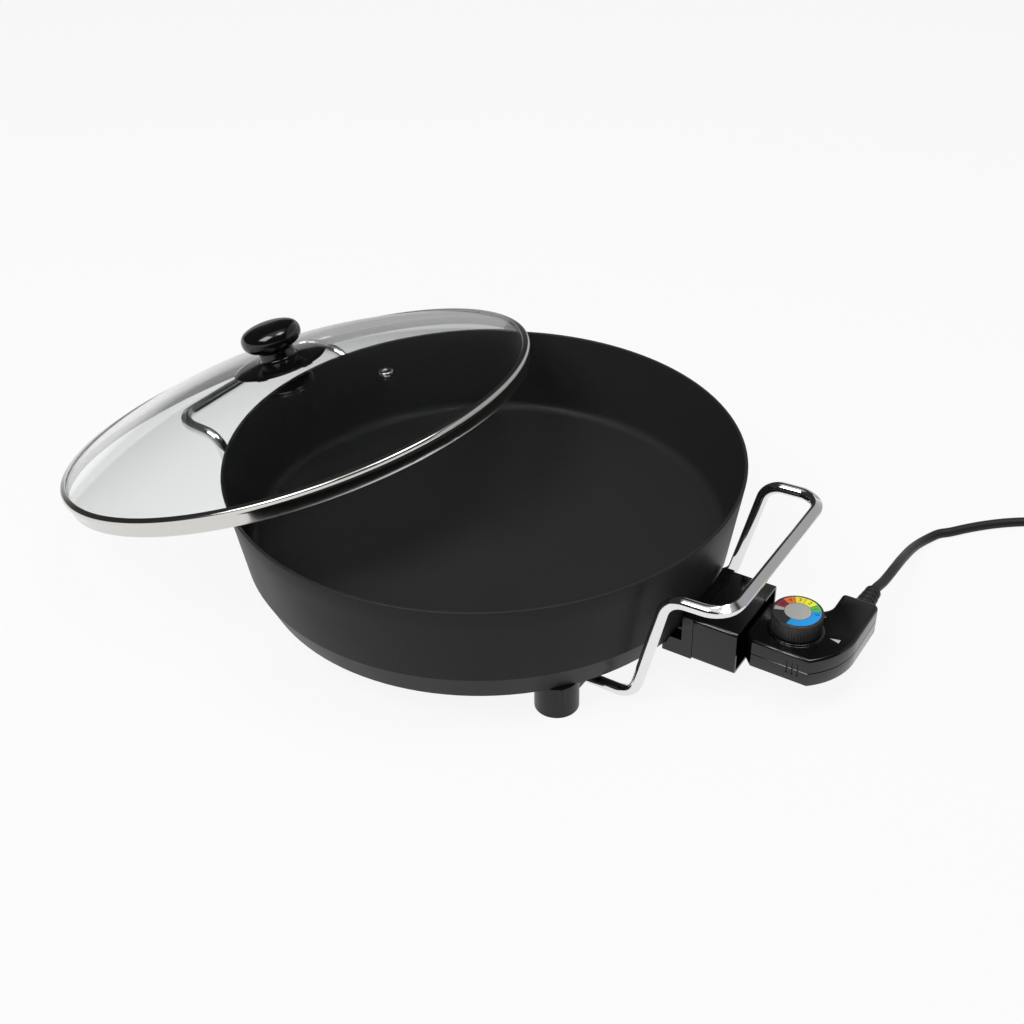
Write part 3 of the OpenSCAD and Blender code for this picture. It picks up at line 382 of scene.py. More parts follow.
sheath = finish_for("oxidised_sheath", (0.11, 0.1, 0.09), 0.38, vary=0.3, grain=700, bump=0.2,
                    Metallic=1.0)
ring_r, turn_r, pin_y, end_x = 105, 20, 11, 172.2
join = math.asin((pin_y + turn_r) / (ring_r + turn_r))
join_x = (ring_r + turn_r) * math.cos(join)
half = [(end_x, pin_y)] + [
    (join_x + turn_r * math.cos(a), pin_y + turn_r + turn_r * math.sin(a))
    for a in [math.radians(-90) + (join - math.radians(90)) * i / 18 for i in range(19)]]
loop = [(ring_r * math.cos(a), ring_r * math.sin(a))
        for a in [join + (2 * math.pi - 2 * join) * i / 150 for i in range(1, 150)]]
plan = half + loop + [(x, -y) for x, y in reversed(half)]
element = wire("heating_element_piece", [[(x, y, pin_z) for x, y in plan]], 3.25, sheath, 28)
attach(element, "pan")
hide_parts("heating_element")
zinc = finish_for("zinc_plate", (0.5, 0.5, 0.5), 0.34, vary=0.1, grain=500, Metallic=1.0)
dressed("element_clamps", zinc, bevel=0.2)
dressed("contact_pins", plated)
china = finish_for("white_ceramic", (0.8, 0.77, 0.69), 0.5, vary=0.05)
dressed("pin_insulators", china, bevel=0.2)


# ---- Connector guard ---------------------------------------------------
# Square phenolic sleeve round the contact pins, on a bracket screwed to the
# pan's wall. The two mouldings meet in a fine parting line.
phenolic = finish_for("gloss_black_phenolic", (0.003, 0.003, 0.0033), 0.12, vary=0.1, grain=600,
                      bump=0.03, rough_vary=0.03)


def inset(outline, gap):
    """The closed outline moved inwards, with its corners kept."""
    moved = []
    for before, here, after in zip(outline[-1:] + outline[:-1], outline, outline[1:] + outline[:1]):
        d1 = (Vector(here) - Vector(before)).normalized()
        d2 = (Vector(after) - Vector(here)).normalized()
        normal = (Vector((-d1.y, d1.x)) + Vector((-d2.y, d2.x))).normalized()
        moved.append(Vector(here) + normal * gap / max(0.5, normal.dot(Vector((-d1.y, d1.x)))))
    return moved


def shell(name, outline, levels, material, place=Matrix(), ring=False, degrees=28):
    """A skin through the outline at each (inset, height), capped or joined end to end."""
    shape = bmesh.new()
    rings = [[shape.verts.new((p.x * MM, p.y * MM, z * MM)) for p in inset(outline, gap)]
             for gap, z in levels]
    count = len(outline)
    for low, high in zip(rings, rings[1:] + (rings[:1] if ring else [])):
        for k in range(count):
            n = (k + 1) % count
            shape.faces.new((low[k], low[n], high[n], high[k]))
    if not ring:
        shape.faces.new(rings[0])
        shape.faces.new(rings[-1])
    bmesh.ops.recalc_face_normals(shape, faces=shape.faces)
    bmesh.ops.transform(shape, matrix=place, verts=shape.verts)
    mesh = bpy.data.meshes.new(name)
    shape.to_mesh(mesh)
    shape.free()
    mesh.materials.append(material)
    smooth_by_angle(mesh, degrees)
    piece = bpy.data.objects.new(name, mesh)
    bpy.context.scene.collection.objects.link(piece)
    return piece


guard_half_w, guard_low, guard_high, guard_t, corner_r = 31, -23.5, 8.8, 2.5, 2.6
joint_x, open_x = 178.25, 208.7
guard_line = []
for y, z, start in [(guard_half_w, guard_high, 0), (-guard_half_w, guard_high, 90),
                    (-guard_half_w, guard_low, 180), (guard_half_w, guard_low, 270)]:
    guard_line += rounded(y - math.copysign(corner_r, y),
                          z - math.copysign(corner_r, z), corner_r, start, start + 90, 7)
along_x = Matrix(((0, 0, 1, 0), (1, 0, 0, 0), (0, 1, 0, 0), (0, 0, 0, 1)))
sleeve = shell("guard_sleeve_piece", guard_line, [
    (0.12, joint_x), (0, joint_x + 0.12), (0, open_x - 0.5), (0.15, open_x - 0.15), (0.5, open_x),
    (guard_t - 0.4, open_x), (guard_t, open_x - 0.4), (guard_t, joint_x)],
    phenolic, along_x, ring=True)
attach(sleeve, "pan")
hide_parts("guard_sleeve")
dressed("guard_bracket", phenolic, bevel=0.6, segments=4)
dressed("guard_screws", zinc, bevel=0.2)
dressed("earth_strip", zinc, bevel=0.1)


# ---- Feet --------------------------------------------------------------
# Four phenolic feet, each a round pad under a block that grips one end of a
# handle. One screw from below holds foot and wire against the casting.
matte_black = finish_for("satin_black_phenolic", (0.013, 0.013, 0.0135), 0.36, grain=700, bump=0.1,
                         Specular_IOR_Level=0.3)
for corner in ["right_front", "right_rear", "left_front", "left_rear"]:
    dressed("foot_" + corner, matte_black, bevel=0.8)
dressed("foot_screws", zinc, bevel=0.25)


# ---- Handles -----------------------------------------------------------
# Two handles bent from 8 mm steel wire, chromium plated. Each rises from a
# pair of feet beside the wall and turns out into a level grip.
chrome = finish_for("bright_chrome", (0.8, 0.8, 0.8), 0.07, vary=0.02, grain=60, bump=0.0,
                    rough_vary=0.02, Metallic=1.0)
foot_x, leg_y, wire_z, wire_r = 115.303, 72.607, -31.5, 4
grip_x, flat_x, flat_fade = 204, 206, 9
corners = [Vector(p) for p in [
    (foot_x - 9, -leg_y, wire_z), (157.9, -leg_y, wire_z), (179.1, -leg_y, 54.9),
    (219.5, -leg_y, 56.5), (219.5, leg_y, 56.5), (179.1, leg_y, 54.9), (157.9, leg_y, wire_z),
    (foot_x - 9, leg_y, wire_z)]]


def bent_line(corners, radii, steps=20):
    """The path through the corners, with a bend of its own radius at each inner one."""
    line = [corners[0]]
    for before, here, after, r in zip(corners, corners[1:], corners[2:], radii):
        d1, d2 = (here - before).normalized(), (after - here).normalized()
        turn = d1.angle(d2)
        start = here - d1 * r * math.tan(turn / 2)
        side = (d2 - d1.dot(d2) * d1).normalized()
        line += [start + r * math.sin(turn * i / steps) * d1
                 + r * (1 - math.cos(turn * i / steps)) * side for i in range(steps + 1)]
    return line + [corners[-1]]


handle_line = bent_line(corners, [15, 16, 17, 17, 16, 15])
grip_line = [(before, after) for before, after in zip(handle_line, handle_line[1:])
             if before.x > grip_x and after.x > grip_x]


def flattened(wire_piece, sign, lean=math.radians(30), depth=1.0):
    """Presses a flat into the grip's outer upper side, fading out round its bends."""
    up = Vector((0, 0, 1))
    for vertex in wire_piece.data.vertices:
        spot = Vector((sign * vertex.co.x, sign * vertex.co.y, vertex.co.z)) / MM
        if spot.x < grip_x:
            continue
        _, along, foot_point = min(
            (((spot - (a + b) / 2).length, (b - a).normalized(), a) for a, b in grip_line),
            key=lambda found: found[0])
        beside = along.cross(up).normalized()
        facing = math.sin(lean) * beside + math.cos(lean) * beside.cross(along)
        share = max(0, min(1, (spot.x - flat_x) / flat_fade))
        over = (spot - foot_point).dot(facing) - (wire_r - depth * share)
        if over > 0:
            spot -= over * facing
            vertex.co = Vector((sign * spot.x, sign * spot.y, spot.z)) * MM


for side, sign in [("right", 1), ("left", -1)]:
    handle = wire("handle_wire_" + side, [[(sign * p.x, sign * p.y, p.z) for p in handle_line]],
                  wire_r, chrome, 36)
    flattened(handle, sign)
    smooth_by_angle(handle.data, 25)
    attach(handle, "pan")
    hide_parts("handle_" + side)


# ---- Glass lid ---------------------------------------------------------
# Domed tempered glass in a rolled steel rim. It lies slid back over the left
# handle, tilted, with its skirt on the pan's edge.
lid_tilt, lid_x, lid_z = 17.0678, -171, 50.3609
on_lid = (Matrix.Translation(Vector((lid_x, 0, lid_z)) * MM)
          @ Matrix.Rotation(math.radians(-lid_tilt), 4, "Y"))
dome_r, dome_h, glass_t, vent_r, hole_r = 178.4, 34, 4, 100, 3.2
outer_sphere = (dome_r ** 2 + dome_h ** 2) / (2 * dome_h)
inner_sphere = outer_sphere - glass_t


def carved(piece, cutters, operation="DIFFERENCE"):
    """Cuts the cutters out of the piece, or joins them to it, and deletes them."""
    for number, cutter in enumerate(cutters):
        modifier = piece.modifiers.new("carve_%d" % number, "BOOLEAN")
        modifier.operation = operation
        modifier.solver = "EXACT"
        modifier.object = cutter
    bpy.context.view_layer.update()
    mesh = bpy.data.meshes.new_from_object(
        piece.evaluated_get(bpy.context.evaluated_depsgraph_get()))
    piece.modifiers.clear()
    piece.data = mesh
    for cutter in cutters:
        bpy.data.objects.remove(cutter)


def dome(r, sphere=outer_sphere):
    """Height of a sphere concentric with the glass, above the lid's rim plane."""
    return math.sqrt(sphere ** 2 - r ** 2) - (outer_sphere - dome_h)


clear = bpy.data.materials.new("clear_tempered_glass")
clear.use_nodes = True
shader = clear.node_tree.nodes["Principled BSDF"]
for socket, value in {"Base Color": (0.93, 0.95, 0.94, 1), "Roughness": 0.0, "IOR": 1.46,
                      "Transmission Weight": 1.0}.items():
    shader.inputs[socket].default_value = value
place = clear.node_tree.nodes.new("ShaderNodeTexCoord")
ripple = clear.node_tree.nodes.new("ShaderNodeTexNoise")
ripple.inputs["Scale"].default_value = 9
relief = clear.node_tree.nodes.new("ShaderNodeBump")
relief.inputs["Strength"].default_value = 0.05
relief.inputs["Distance"].default_value = 0.0005
clear.node_tree.links.new(place.outputs["Object"], ripple.inputs["Vector"])
clear.node_tree.links.new(ripple.outputs["Fac"], relief.inputs["Height"])
clear.node_tree.links.new(relief.outputs["Normal"], shader.inputs["Normal"])

edge_r = dome_r - glass_t * dome_r / outer_sphere
radii = [hole_r + (dome_r - hole_r) * i / 60 for i in range(61)]
under = [hole_r + (edge_r - hole_r) * i / 60 for i in range(61)]
glass = turned("domed_glass", [(r, dome(r)) for r in radii]
               + [(r, dome(r, inner_sphere)) for r in reversed(under)], clear, 256, on_lid,
               closed=True)
drill = turned("cutter", [(0, 15), (hole_r, 15), (hole_r, 40), (0, 40)], clear, 48,
               on_lid @ Matrix.Translation((vent_r * MM, 0, 0)))
carved(glass, [drill])
smooth_by_angle(glass.data, 30)
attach(glass, "lid")
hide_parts("lid_glass")

sheet_steel = finish_for("polished_stainless", (0.66, 0.65, 0.63), 0.15, vary=0.06, grain=1200,
                         bump=0.04, rough_vary=0.05, Metallic=1.0)
lip, corner, fold, skirt = dome_r - 1.3, dome_r - 1.4, dome_r - 2, 179.3
rim_profile = [
    (lip, dome(lip) + 0.12), (lip, dome(lip) + 0.6), (lip + 0.3, dome(lip) + 0.78),
    (dome_r, 0.9), *rounded(180.4, -0.7, 1.6, 80, 0, 6), (182, -1.6),
    *rounded(180.6, -2.4, 1.4, 0, -70, 5), (skirt + 0.35, -4.3), (skirt, -4.9), (skirt, -12),
    (skirt - 0.7, -12), (skirt - 0.7, -5.6),
    (fold, dome(fold, inner_sphere) - 0.82), (fold, dome(fold, inner_sphere) - 0.12),
    (corner, dome(corner, inner_sphere) - 0.22), (dome_r + 0.12, -4.2), (dome_r + 0.12, 0)]
rim = turned("rolled_rim", rim_profile, sheet_steel, 288, on_lid, closed=True)
# Faces inside the skirt take a second, rougher copy of the stainless with its colour darkened to
# under half: painted shade inside the skirt.
rim.data.materials.append(finish_for(
    "stainless_painted_shade", (0.3, 0.295, 0.285), 0.24, vary=0.3, grain=60, bump=0.05, rough_vary=0.08,
    stretch=(1, 1, 6), Metallic=1.0))
from_lid = on_lid.inverted()
for face in rim.data.polygons:
    middle = from_lid @ (rim.matrix_world @ face.center) / MM
    if middle.z < -5.7 and math.hypot(middle.x, middle.y) < skirt - 0.5:
        face.material_index = 1
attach(rim, "lid")
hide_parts("lid_rim")


# ---- Knob --------------------------------------------------------------
# Phenolic knob on a wide base disc. A screw from under the glass clamps
# knob, disc and glass together over a steel washer.
base_top = dome_h + 4.4
disc = turned("knob_disc", [(hole_r, dome(hole_r) + 0.1)]
              + [(r, dome(r) + 0.1) for r in range(5, 28, 3)]
              + [(28.5, dome(28.5) + 0.1), (29.2, dome(29) + 0.9), (34.7, dome(35) + 0.9),
                 (35, dome(35) + 1.1), (35, dome(35) + 1.6), (34.5, dome(35) + 2.0),
                 (30, dome(30) + 2.7), (24, dome(24) + 3.2), (17, base_top - 0.6),
                 (15.9, base_top - 0.4), (15.4, base_top), (hole_r, base_top)],
              phenolic, 128, on_lid, closed=True)
for number in range(6):
    tab = shell("disc_tab_%d" % number, [(30.5, -4), (35.2, -4), (35.2, 4), (30.5, 4)],
                [(0.3, dome(33) + 0.15), (0, dome(33) + 0.45), (0, dome(33) + 1.5)], phenolic,
                on_lid @ Matrix.Rotation(math.radians(60 * number - 10), 4, "Z"))
    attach(tab, "lid")
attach(disc, "lid")
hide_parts("knob_base")
knob_h, knob_bore_r, knob_bore_h = 26, 2.55, 14.3
knob_side = smooth_line([Vector(p) for p in [
    (14.2, 0, 0), (13.5, 1.0, 0), (13.2, 3.4, 0), (13.2, 6.9, 0), (15.2, 8.2, 0), (18.6, 9.4, 0),
    (21.4, 12.2, 0), (22.5, 15.9, 0), (21.9, 19.6, 0), (19.4, 22.7, 0), (14.6, 24.7, 0),
    (9.0, 25.7, 0), (3.5, 26.0, 0)]], 5)
knob = turned("lid_knob_piece", [(knob_bore_r, 0)] + [(p.x, p.y) for p in knob_side] + [(0, knob_h)]
              + [(0, knob_bore_h), (knob_bore_r, knob_bore_h)], phenolic, 128,
              on_lid @ Matrix.Translation((0, 0, (base_top + 0.1) * MM)), closed=True)
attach(knob, "lid")
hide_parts("lid_knob")
dressed("knob_washer", sheet_steel, bevel=0.2)
dressed("knob_screw", sheet_steel, bevel=0.3)
eyelet_tilt = math.asin(vent_r / outer_sphere)
eyelet_z = (dome(vent_r) + dome(vent_r, inner_sphere)) / 2
flange = glass_t / 2 + 0.15
eyelet = turned("steam_eyelet", [
    (1.8, -flange - 0.9), (4.6, -flange - 0.9), (5, -flange - 0.5), (5, -flange), (2.4, -flange),
    (2.4, flange), (5, flange), *rounded(4.4, flange + 0.3, 0.6, 0, 90, 4), (2.6, flange + 0.9),
    (1.8, flange + 0.4)], sheet_steel, 64,
    on_lid @ Matrix.Translation((vent_r * MM, 0, eyelet_z * MM))
    @ Matrix.Rotation(eyelet_tilt, 4, "Y"), closed=True)
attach(eyelet, "lid")
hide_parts("vent_eyelet")


# ---- Control housing ---------------------------------------------------
# Two moulded phenolic shells that meet in a groove halfway up. The nose goes
# into the guard, the arm carries the cord, and the front has three grip slots.
body_top, body_low, groove = 4.0, -17.0, 0.08
shell_t, ease_r = 2.2, 2.2
body_x, body_end, arm_x = 209.2, 272.5, 247.3
sweep_mid, sweep_r = (223.5, 12.536), 49
plan_line = (
    [(body_x, -17), (body_x + 0.6, -17.7), (body_x + 6.4, -24.3), (body_x + 7.4, -25)]
    + rounded(*sweep_mid, sweep_r, -50, 0, 30)
    + rounded(body_end - 4.5, arm_end - 4.5, 4.5, 0, 90, 9)
    + rounded(arm_x + 3, arm_end - 3, 3, 90, 180, 7)
    + rounded(arm_x - 11, 36, 11, 0, -90, 14)
    + [(body_x + 7.4, 25), (body_x + 6.4, 24.3), (body_x + 0.6, 17.7), (body_x, 17)])
nose_x = 188.2
nose_line = [(nose_x, -17), (body_x + 0.4, -17), (body_x + 0.4, 17), (nose_x, 17)]


def block(x0, y0, z0, x1, y1, z1):
    """A plain cutter between two corners, in mm."""
    return shell("cutter", [(x0, y0), (x1, y0), (x1, y1), (x0, y1)], [(0, z0), (0, z1)], phenolic)


def bore(x, y, z, r, length, way="Z"):
    """A round cutter of this length along an axis."""
    turn = {"X": Matrix.Rotation(math.radians(90), 4, "Y"),
            "Y": Matrix.Rotation(math.radians(-90), 4, "X"), "Z": Matrix()}[way]
    return turned("cutter", [(0, 0), (r, 0), (r, length), (0, length)], phenolic, 40,
                  Matrix.Translation(Vector((x, y, z)) * MM) @ turn)


upper_edge = [(ease_r * (1 - math.cos(math.radians(a))), body_top - ease_r
               + ease_r * math.sin(math.radians(a))) for a in range(0, 91, 15)]
lower_edge = [(1.2 * (1 - math.cos(math.radians(a))), body_low + 1.2
               - 1.2 * math.sin(math.radians(a))) for a in range(0, 91, 30)]
nose_half = 7.5
halves = {
    "control_top": ([(shell_t, body_top - shell_t), (shell_t, pin_z + groove),
                     (0.3, pin_z + groove), (0, pin_z + groove + 0.3)] + upper_edge,
                    [(shell_t, pin_z + nose_half - shell_t), (shell_t, pin_z + groove),
                     (0, pin_z + groove), (0, pin_z + nose_half - 1), (1, pin_z + nose_half)]),
    "control_bottom": ([(shell_t, body_low + shell_t), (shell_t, pin_z - groove),
                        (0.3, pin_z - groove), (0, pin_z - groove - 0.3)] + lower_edge,
                       [(shell_t, pin_z - nose_half + shell_t), (shell_t, pin_z - groove),
                        (0, pin_z - groove), (0, pin_z - nose_half + 1), (1, pin_z - nose_half)])}
dial_x = 235.5
lamp_x, lamp_y = arm_x - 1, 21.4
screw_sites = [(body_x + 12, -17), (body_x + 12, 17), (body_x + 40, -18), (body_end - 6.2, 23)]
for node, (levels, nose_levels) in halves.items():
    half_shell = shell(node + "_piece", plan_line, levels, phenolic)
    carved(half_shell, [shell("cutter", nose_line, nose_levels, phenolic)], "UNION")
    cuts = [block(body_x - 4, -14.8, pin_z - 5.3, body_x + 2.6, 14.8, pin_z + 5.3),
            bore(nose_x - 1, 0, pin_z, 3.6, 5, "X"),
            bore(arm_mid_x, arm_end - 4, pin_z, 4.7, 6, "Y")]
    cuts += [bore(nose_x - 1, side * pin_y, pin_z, 3, 5, "X") for side in (-1, 1)]
    cuts += [block(x - 0.65, -27, pin_z - 4.7, x + 0.65, -24.2, pin_z + 4.7)
             for x in (241.2, 244.8, 248.4)]
    if node == "control_top":
        cuts += [bore(dial_x, 0, 0, 3.5, 6), bore(lamp_x, lamp_y, 0, 1.35, 6)]
    else:
        cuts += [bore(x, y, body_low - 1, 3, 4) for x, y in screw_sites]
    carved(half_shell, cuts)
    smooth_by_angle(half_shell.data, 28)
    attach(half_shell, "control")
    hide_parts(node)
for number, (x, y) in enumerate(screw_sites):
    post = turned("screw_post_%d" % number, [
        (3.6, pin_z - 0.2), (1.65, pin_z - 0.2), (1.65, body_low + 3), (3.05, body_low + 3),
        (3.05, body_low + 0.1), (3.6, body_low + 1)], phenolic, 40,
        Matrix.Translation(Vector((x, y, 0)) * MM), closed=True)
    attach(post, "control")
collar = turned("dial_collar", [(3.5, body_top - 0.4), (3.5, body_top + 1.4),
                                *reversed(rounded(17.2, body_top + 0.8, 0.6, 0, 90, 5)),
                                (17.8, body_top + 0.3),
                                *rounded(18.3, body_top + 0.5, 0.5, 180, 270, 4),
                                (18.3, body_top - 0.4)],
                phenolic, 144, Matrix.Translation((dial_x * MM, 0, 0)), closed=True)
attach(collar, "control")
dressed("control_screws", zinc, bevel=0.2)
dressed("pointer_mark", finish_for("printed_grey_ink", (0.42, 0.42, 0.41), 0.4, vary=0.06,
                                   grain=2000))
lens_red = finish_for("red_lamp_lens", (0.25, 0.012, 0.008), 0.12, grain=900, bump=0.05,
                      Transmission_Weight=0.3, IOR=1.49)
lens = turned("lamp_lens_piece", [(0, 1.7), (1.2, 1.7), (1.2, body_top + 0.05),
                                  (0.95, body_top + 0.22), (0.5, body_top + 0.3),
                                  (0, body_top + 0.32)], lens_red, 48,
              Matrix.Translation((lamp_x * MM, lamp_y * MM, 0)))
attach(lens, "control")
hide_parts("lamp_lens")


# ---- Strain relief -----------------------------------------------------
# Soft ribbed sleeve that keeps the cord from bending sharply at the arm. Its
# collar is trapped between the two shells.
relief_line = [(0, -10.2), (3.8, -10.2), (3.8, -5.3), (6.1, -5.3), (6.1, -2.3), (4.6, -2.3),
               (4.6, 0.1), (7.0, 0.1), (7.3, 0.5)]
for rib in range(4):
    r, y = 7.3 - 1.8 * rib / 4, 5 * rib
    relief_line += [(r, y + 2.7), (r - 0.3, y + 3), (r - 1.2, y + 3.3), (r - 1.2, y + 4.6),
                    (r - 0.75, y + 4.8), (r - 0.45, y + 5.1)]
relief_line += [(5.5, relief_len - 0.4), (5.1, relief_len), (0, relief_len)]
relief = turned("strain_relief_piece", relief_line, vinyl, 96,
                Matrix.Translation(Vector((arm_mid_x, arm_end, pin_z)) * MM)
                @ Matrix.Rotation(math.radians(-90), 4, "X"))
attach(relief, "control")
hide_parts("strain_relief")


# ---- Dial --------------------------------------------------------------
# Moulded knob with fine grip ribs below a plain band. A printed disc of heat
# sectors, with a number in each, is set into its top.
def rib_tree(material):
    """Stands upright half-round ribs in a ring round the piece's axis."""
    sizes = {"Count": 54, "Ring radius": 0.0159, "Rib radius": 0.00045, "Rib length": 0.011,
             "Rib foot": 0.0004}
    tree, start, end = tree_with("grip_ribs", sizes)
    nodes, links = tree.nodes, tree.links
    ring = nodes.new("GeometryNodeMeshCircle")
    rod = nodes.new("GeometryNodeMeshCylinder")
    rod.inputs["Vertices"].default_value = 10
    put = nodes.new("GeometryNodeInstanceOnPoints")
    half_up = nodes.new("ShaderNodeMath")
    half_up.operation = "MULTIPLY_ADD"
    half_up.inputs[1].default_value = 0.5
    lift = nodes.new("ShaderNodeCombineXYZ")
    move = nodes.new("GeometryNodeTransform")
    real = nodes.new("GeometryNodeRealizeInstances")
    paint = nodes.new("GeometryNodeSetMaterial")
    paint.inputs["Material"].default_value = material
    join = nodes.new("GeometryNodeJoinGeometry")
    links.new(start.outputs["Count"], ring.inputs["Vertices"])
    links.new(start.outputs["Ring radius"], ring.inputs["Radius"])
    links.new(start.outputs["Rib radius"], rod.inputs["Radius"])
    links.new(start.outputs["Rib length"], rod.inputs["Depth"])
    links.new(start.outputs["Rib length"], half_up.inputs[0])
    links.new(start.outputs["Rib foot"], half_up.inputs[2])
    links.new(half_up.outputs["Value"], lift.inputs["Z"])
    links.new(ring.outputs["Mesh"], put.inputs["Points"])
    links.new(rod.outputs["Mesh"], put.inputs["Instance"])
    links.new(put.outputs["Instances"], move.inputs["Geometry"])
    links.new(lift.outputs["Vector"], move.inputs["Translation"])
    links.new(start.outputs["Geometry"], join.inputs["Geometry"])
    links.new(move.outputs["Geometry"], join.inputs["Geometry"])
    links.new(join.outputs["Geometry"], real.inputs["Geometry"])
    links.new(real.outputs["Geometry"], paint.inputs["Geometry"])
    links.new(paint.outputs["Geometry"], end.inputs["Geometry"])
    return tree


dial_low, dial_h = 5.8, 13
dial_place = Matrix.Translation(Vector((dial_x, 0, dial_low)) * MM)
dial_black = finish_for("dial_black_nylon", (0.022, 0.022, 0.023), 0.33, grain=1500, bump=0.12)
dial = turned("dial_knob_piece", [
    (3.05, 0), (15.3, 0), (15.9, 0.4), (15.9, 11.4), (16.4, 11.7),
    *rounded(15.8, 12.4, 0.6, 0, 90, 5),
    (15.45, dial_h), (15.2, dial_h - 0.15), (15.2, dial_h - 0.5), (0, dial_h - 0.5),
    (0, dial_h - 2), (3.05, dial_h - 2)], dial_black, 144, closed=True)
dial = grown(dial, rib_tree(dial_black), {}, 40)
dial.data.transform(dial_place)
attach(dial, "dial")
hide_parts("dial_knob")

inks = {
    "grey": (0.36, 0.36, 0.34), "dark_red": (0.22, 0.018, 0.03), "orange": (0.72, 0.16, 0.035),
    "yellow": (0.85, 0.68, 0.03), "lemon": (0.78, 0.77, 0.04), "green": (0.09, 0.42, 0.08),
    "blue": (0.012, 0.27, 0.66), "black": (0.014, 0.014, 0.014)}
sectors = [(-158, -97, "black"), (-97, 27, "blue"), (27, 56, "green"), (56, 91, "lemon"),
           (91, 121, "yellow"), (121, 152, "orange"), (152, 185, "dark_red"), (185, 202, "grey")]
face_r, hub_r, line_w, face_z, face_t = 15.1, 8.5, 0.3, dial_low + dial_h - 0.1, 0.35
face = bmesh.new()
ink_names = list(inks)
black_ink = ink_names.index("black")
steps = []
for start, end, ink in sectors:
    edge = math.degrees(line_w / 2 / 12)
    inner = [start + edge + (end - start - 2 * edge) * i / max(2, round((end - start) / 3))
             for i in range(max(2, round((end - start) / 3)) + 1)]
    steps += [(a, ink) for a in inner[:-1]] + [(inner[-1], "black")]
bands = [0, hub_r, hub_r + line_w, face_r - 0.25, face_r]
rings = [[face.verts.new((0, 0, face_z * MM))]] + [
    [face.verts.new((r * MM * math.cos(math.radians(a)), r * MM * math.sin(math.radians(a)),
                     face_z * MM)) for a, ink in steps] for r in bands[1:]]
low_ring = [face.verts.new((v.co.x, v.co.y, (face_z - face_t) * MM)) for v in rings[-1]]
for k in range(len(steps)):
    n = (k + 1) % len(steps)
    tones = ["grey", "black", steps[k][1], "black"]
    for low, high, ink in zip(rings, rings[1:], tones):
        corners = list(dict.fromkeys([low[k % len(low)], high[k], high[n], low[n % len(low)]]))
        face.faces.new(corners).material_index = ink_names.index(ink)
    side = face.faces.new((rings[-1][k], low_ring[k], low_ring[n], rings[-1][n]))
    side.material_index = black_ink
face.faces.new(list(reversed(low_ring))).material_index = black_ink
face_mesh = bpy.data.meshes.new("dial_print")
face.to_mesh(face_mesh)
face.free()
for ink, colour in inks.items():
    face_mesh.materials.append(finish_for("dial_ink_" + ink, colour, 0.38, vary=0.05, grain=2500,
                                          bump=0.05))
dial_print = bpy.data.objects.new("dial_print", face_mesh)
bpy.context.scene.collection.objects.link(dial_print)
face_mesh.transform(Matrix.Translation((dial_x * MM, 0, 0)))
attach(dial_print, "dial")
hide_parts("dial_face")
number_r = 11.9
for label, angle in zip("012345", [14, 41, 73, 106, 136, 168]):
    text = bpy.data.curves.new("number_" + label, "FONT")
    text.body = label
    text.size = 0.0042
    text.align_x, text.align_y = "CENTER", "CENTER"
    text.extrude = 0.00003
    text.resolution_u = 3
    raw = bpy.data.objects.new("raw", text)
    bpy.context.scene.collection.objects.link(raw)
    bpy.context.view_layer.update()
    mesh = bpy.data.meshes.new_from_object(
        raw.evaluated_get(bpy.context.evaluated_depsgraph_get()))
    bpy.data.objects.remove(raw)
    a = math.radians(angle)
    mesh.transform(Matrix.Translation(Vector((dial_x + number_r * math.cos(a),
                                              number_r * math.sin(a), face_z + 0.035)) * MM)
                   @ Matrix.Rotation(a - math.radians(90), 4, "Z"))
    mesh.materials.clear()
    mesh.materials.append(face_mesh.materials[black_ink])
    number = bpy.data.objects.new("number_" + label, mesh)
    bpy.context.scene.collection.objects.link(number)
    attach(number, "dial")
brass = finish_for("turned_brass", (0.68, 0.5, 0.23), 0.28, grain=600, Metallic=1.0)
dressed("dial_shaft", brass)


# ---- Inside the control ------------------------------------------------
# Probe with its rod, two female contacts, and a thermostat of spring blades in
# a ceramic stack on a steel frame. Two insulated leads join them to the cord.
dressed("probe_tube", sheet_steel, bevel=0.2)
dressed("probe_rod", china, bevel=0.2)
dressed("female_contacts", brass, bevel=0.1)
dressed("thermostat_frame", zinc, bevel=0.2)
dressed("ceramic_stack", china, bevel=0.3)
dressed("contact_blades", brass, bevel=0.1)
leads = []
for side in (-1, 1):
    run_x, end_x = arm_mid_x - 4.1 - 2.2 * side, arm_mid_x - 2.2 * side
    leads.append(bent_line([Vector(p) for p in [
        (205.7, side * pin_y, pin_z), (run_x, side * pin_y, pin_z), (run_x, 30.2, pin_z),
        (end_x, 36.2, pin_z), (end_x, 41.2, pin_z)]], [4, 4, 4], 10))
lead_pair = wire("control_leads_piece", leads, 1, finish_for(
    "brown_silicone", (0.22, 0.06, 0.03), 0.5, grain=2500), 16)
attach(lead_pair, "control")
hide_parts("control_leads")
dressed("pilot_lamp", finish_for("neon_lamp_glass", (0.75, 0.68, 0.55), 0.15,
                                 Transmission_Weight=0.4))


# ---- Floor and light ---------------------------------------------------
# Plain white sweep under a large soft lamp beyond the near left corner and a
# smaller one above. Reflections see a dim room with one grey side, and a far
# floor that is weaker than it looks to the eye.
def computed(tree, operation, *terms, clamp=False):
    """The result of a math node on numbers and sockets."""
    node = tree.nodes.new("ShaderNodeMath")
    node.operation = operation
    node.use_clamp = clamp
    for socket, term in zip(node.inputs, terms):
        if isinstance(term, (int, float)):
            socket.default_value = term
        else:
            tree.links.new(term, socket)
    return node.outputs["Value"]


def ray_kinds(tree):
    """The light path's camera, glossy and transmission flags and its two depths."""
    path = tree.nodes.new("ShaderNodeLightPath")
    return [path.outputs[name] for name in ["Is Camera Ray", "Is Glossy Ray", "Is Transmission Ray",
                                            "Diffuse Depth", "Glossy Depth"]]


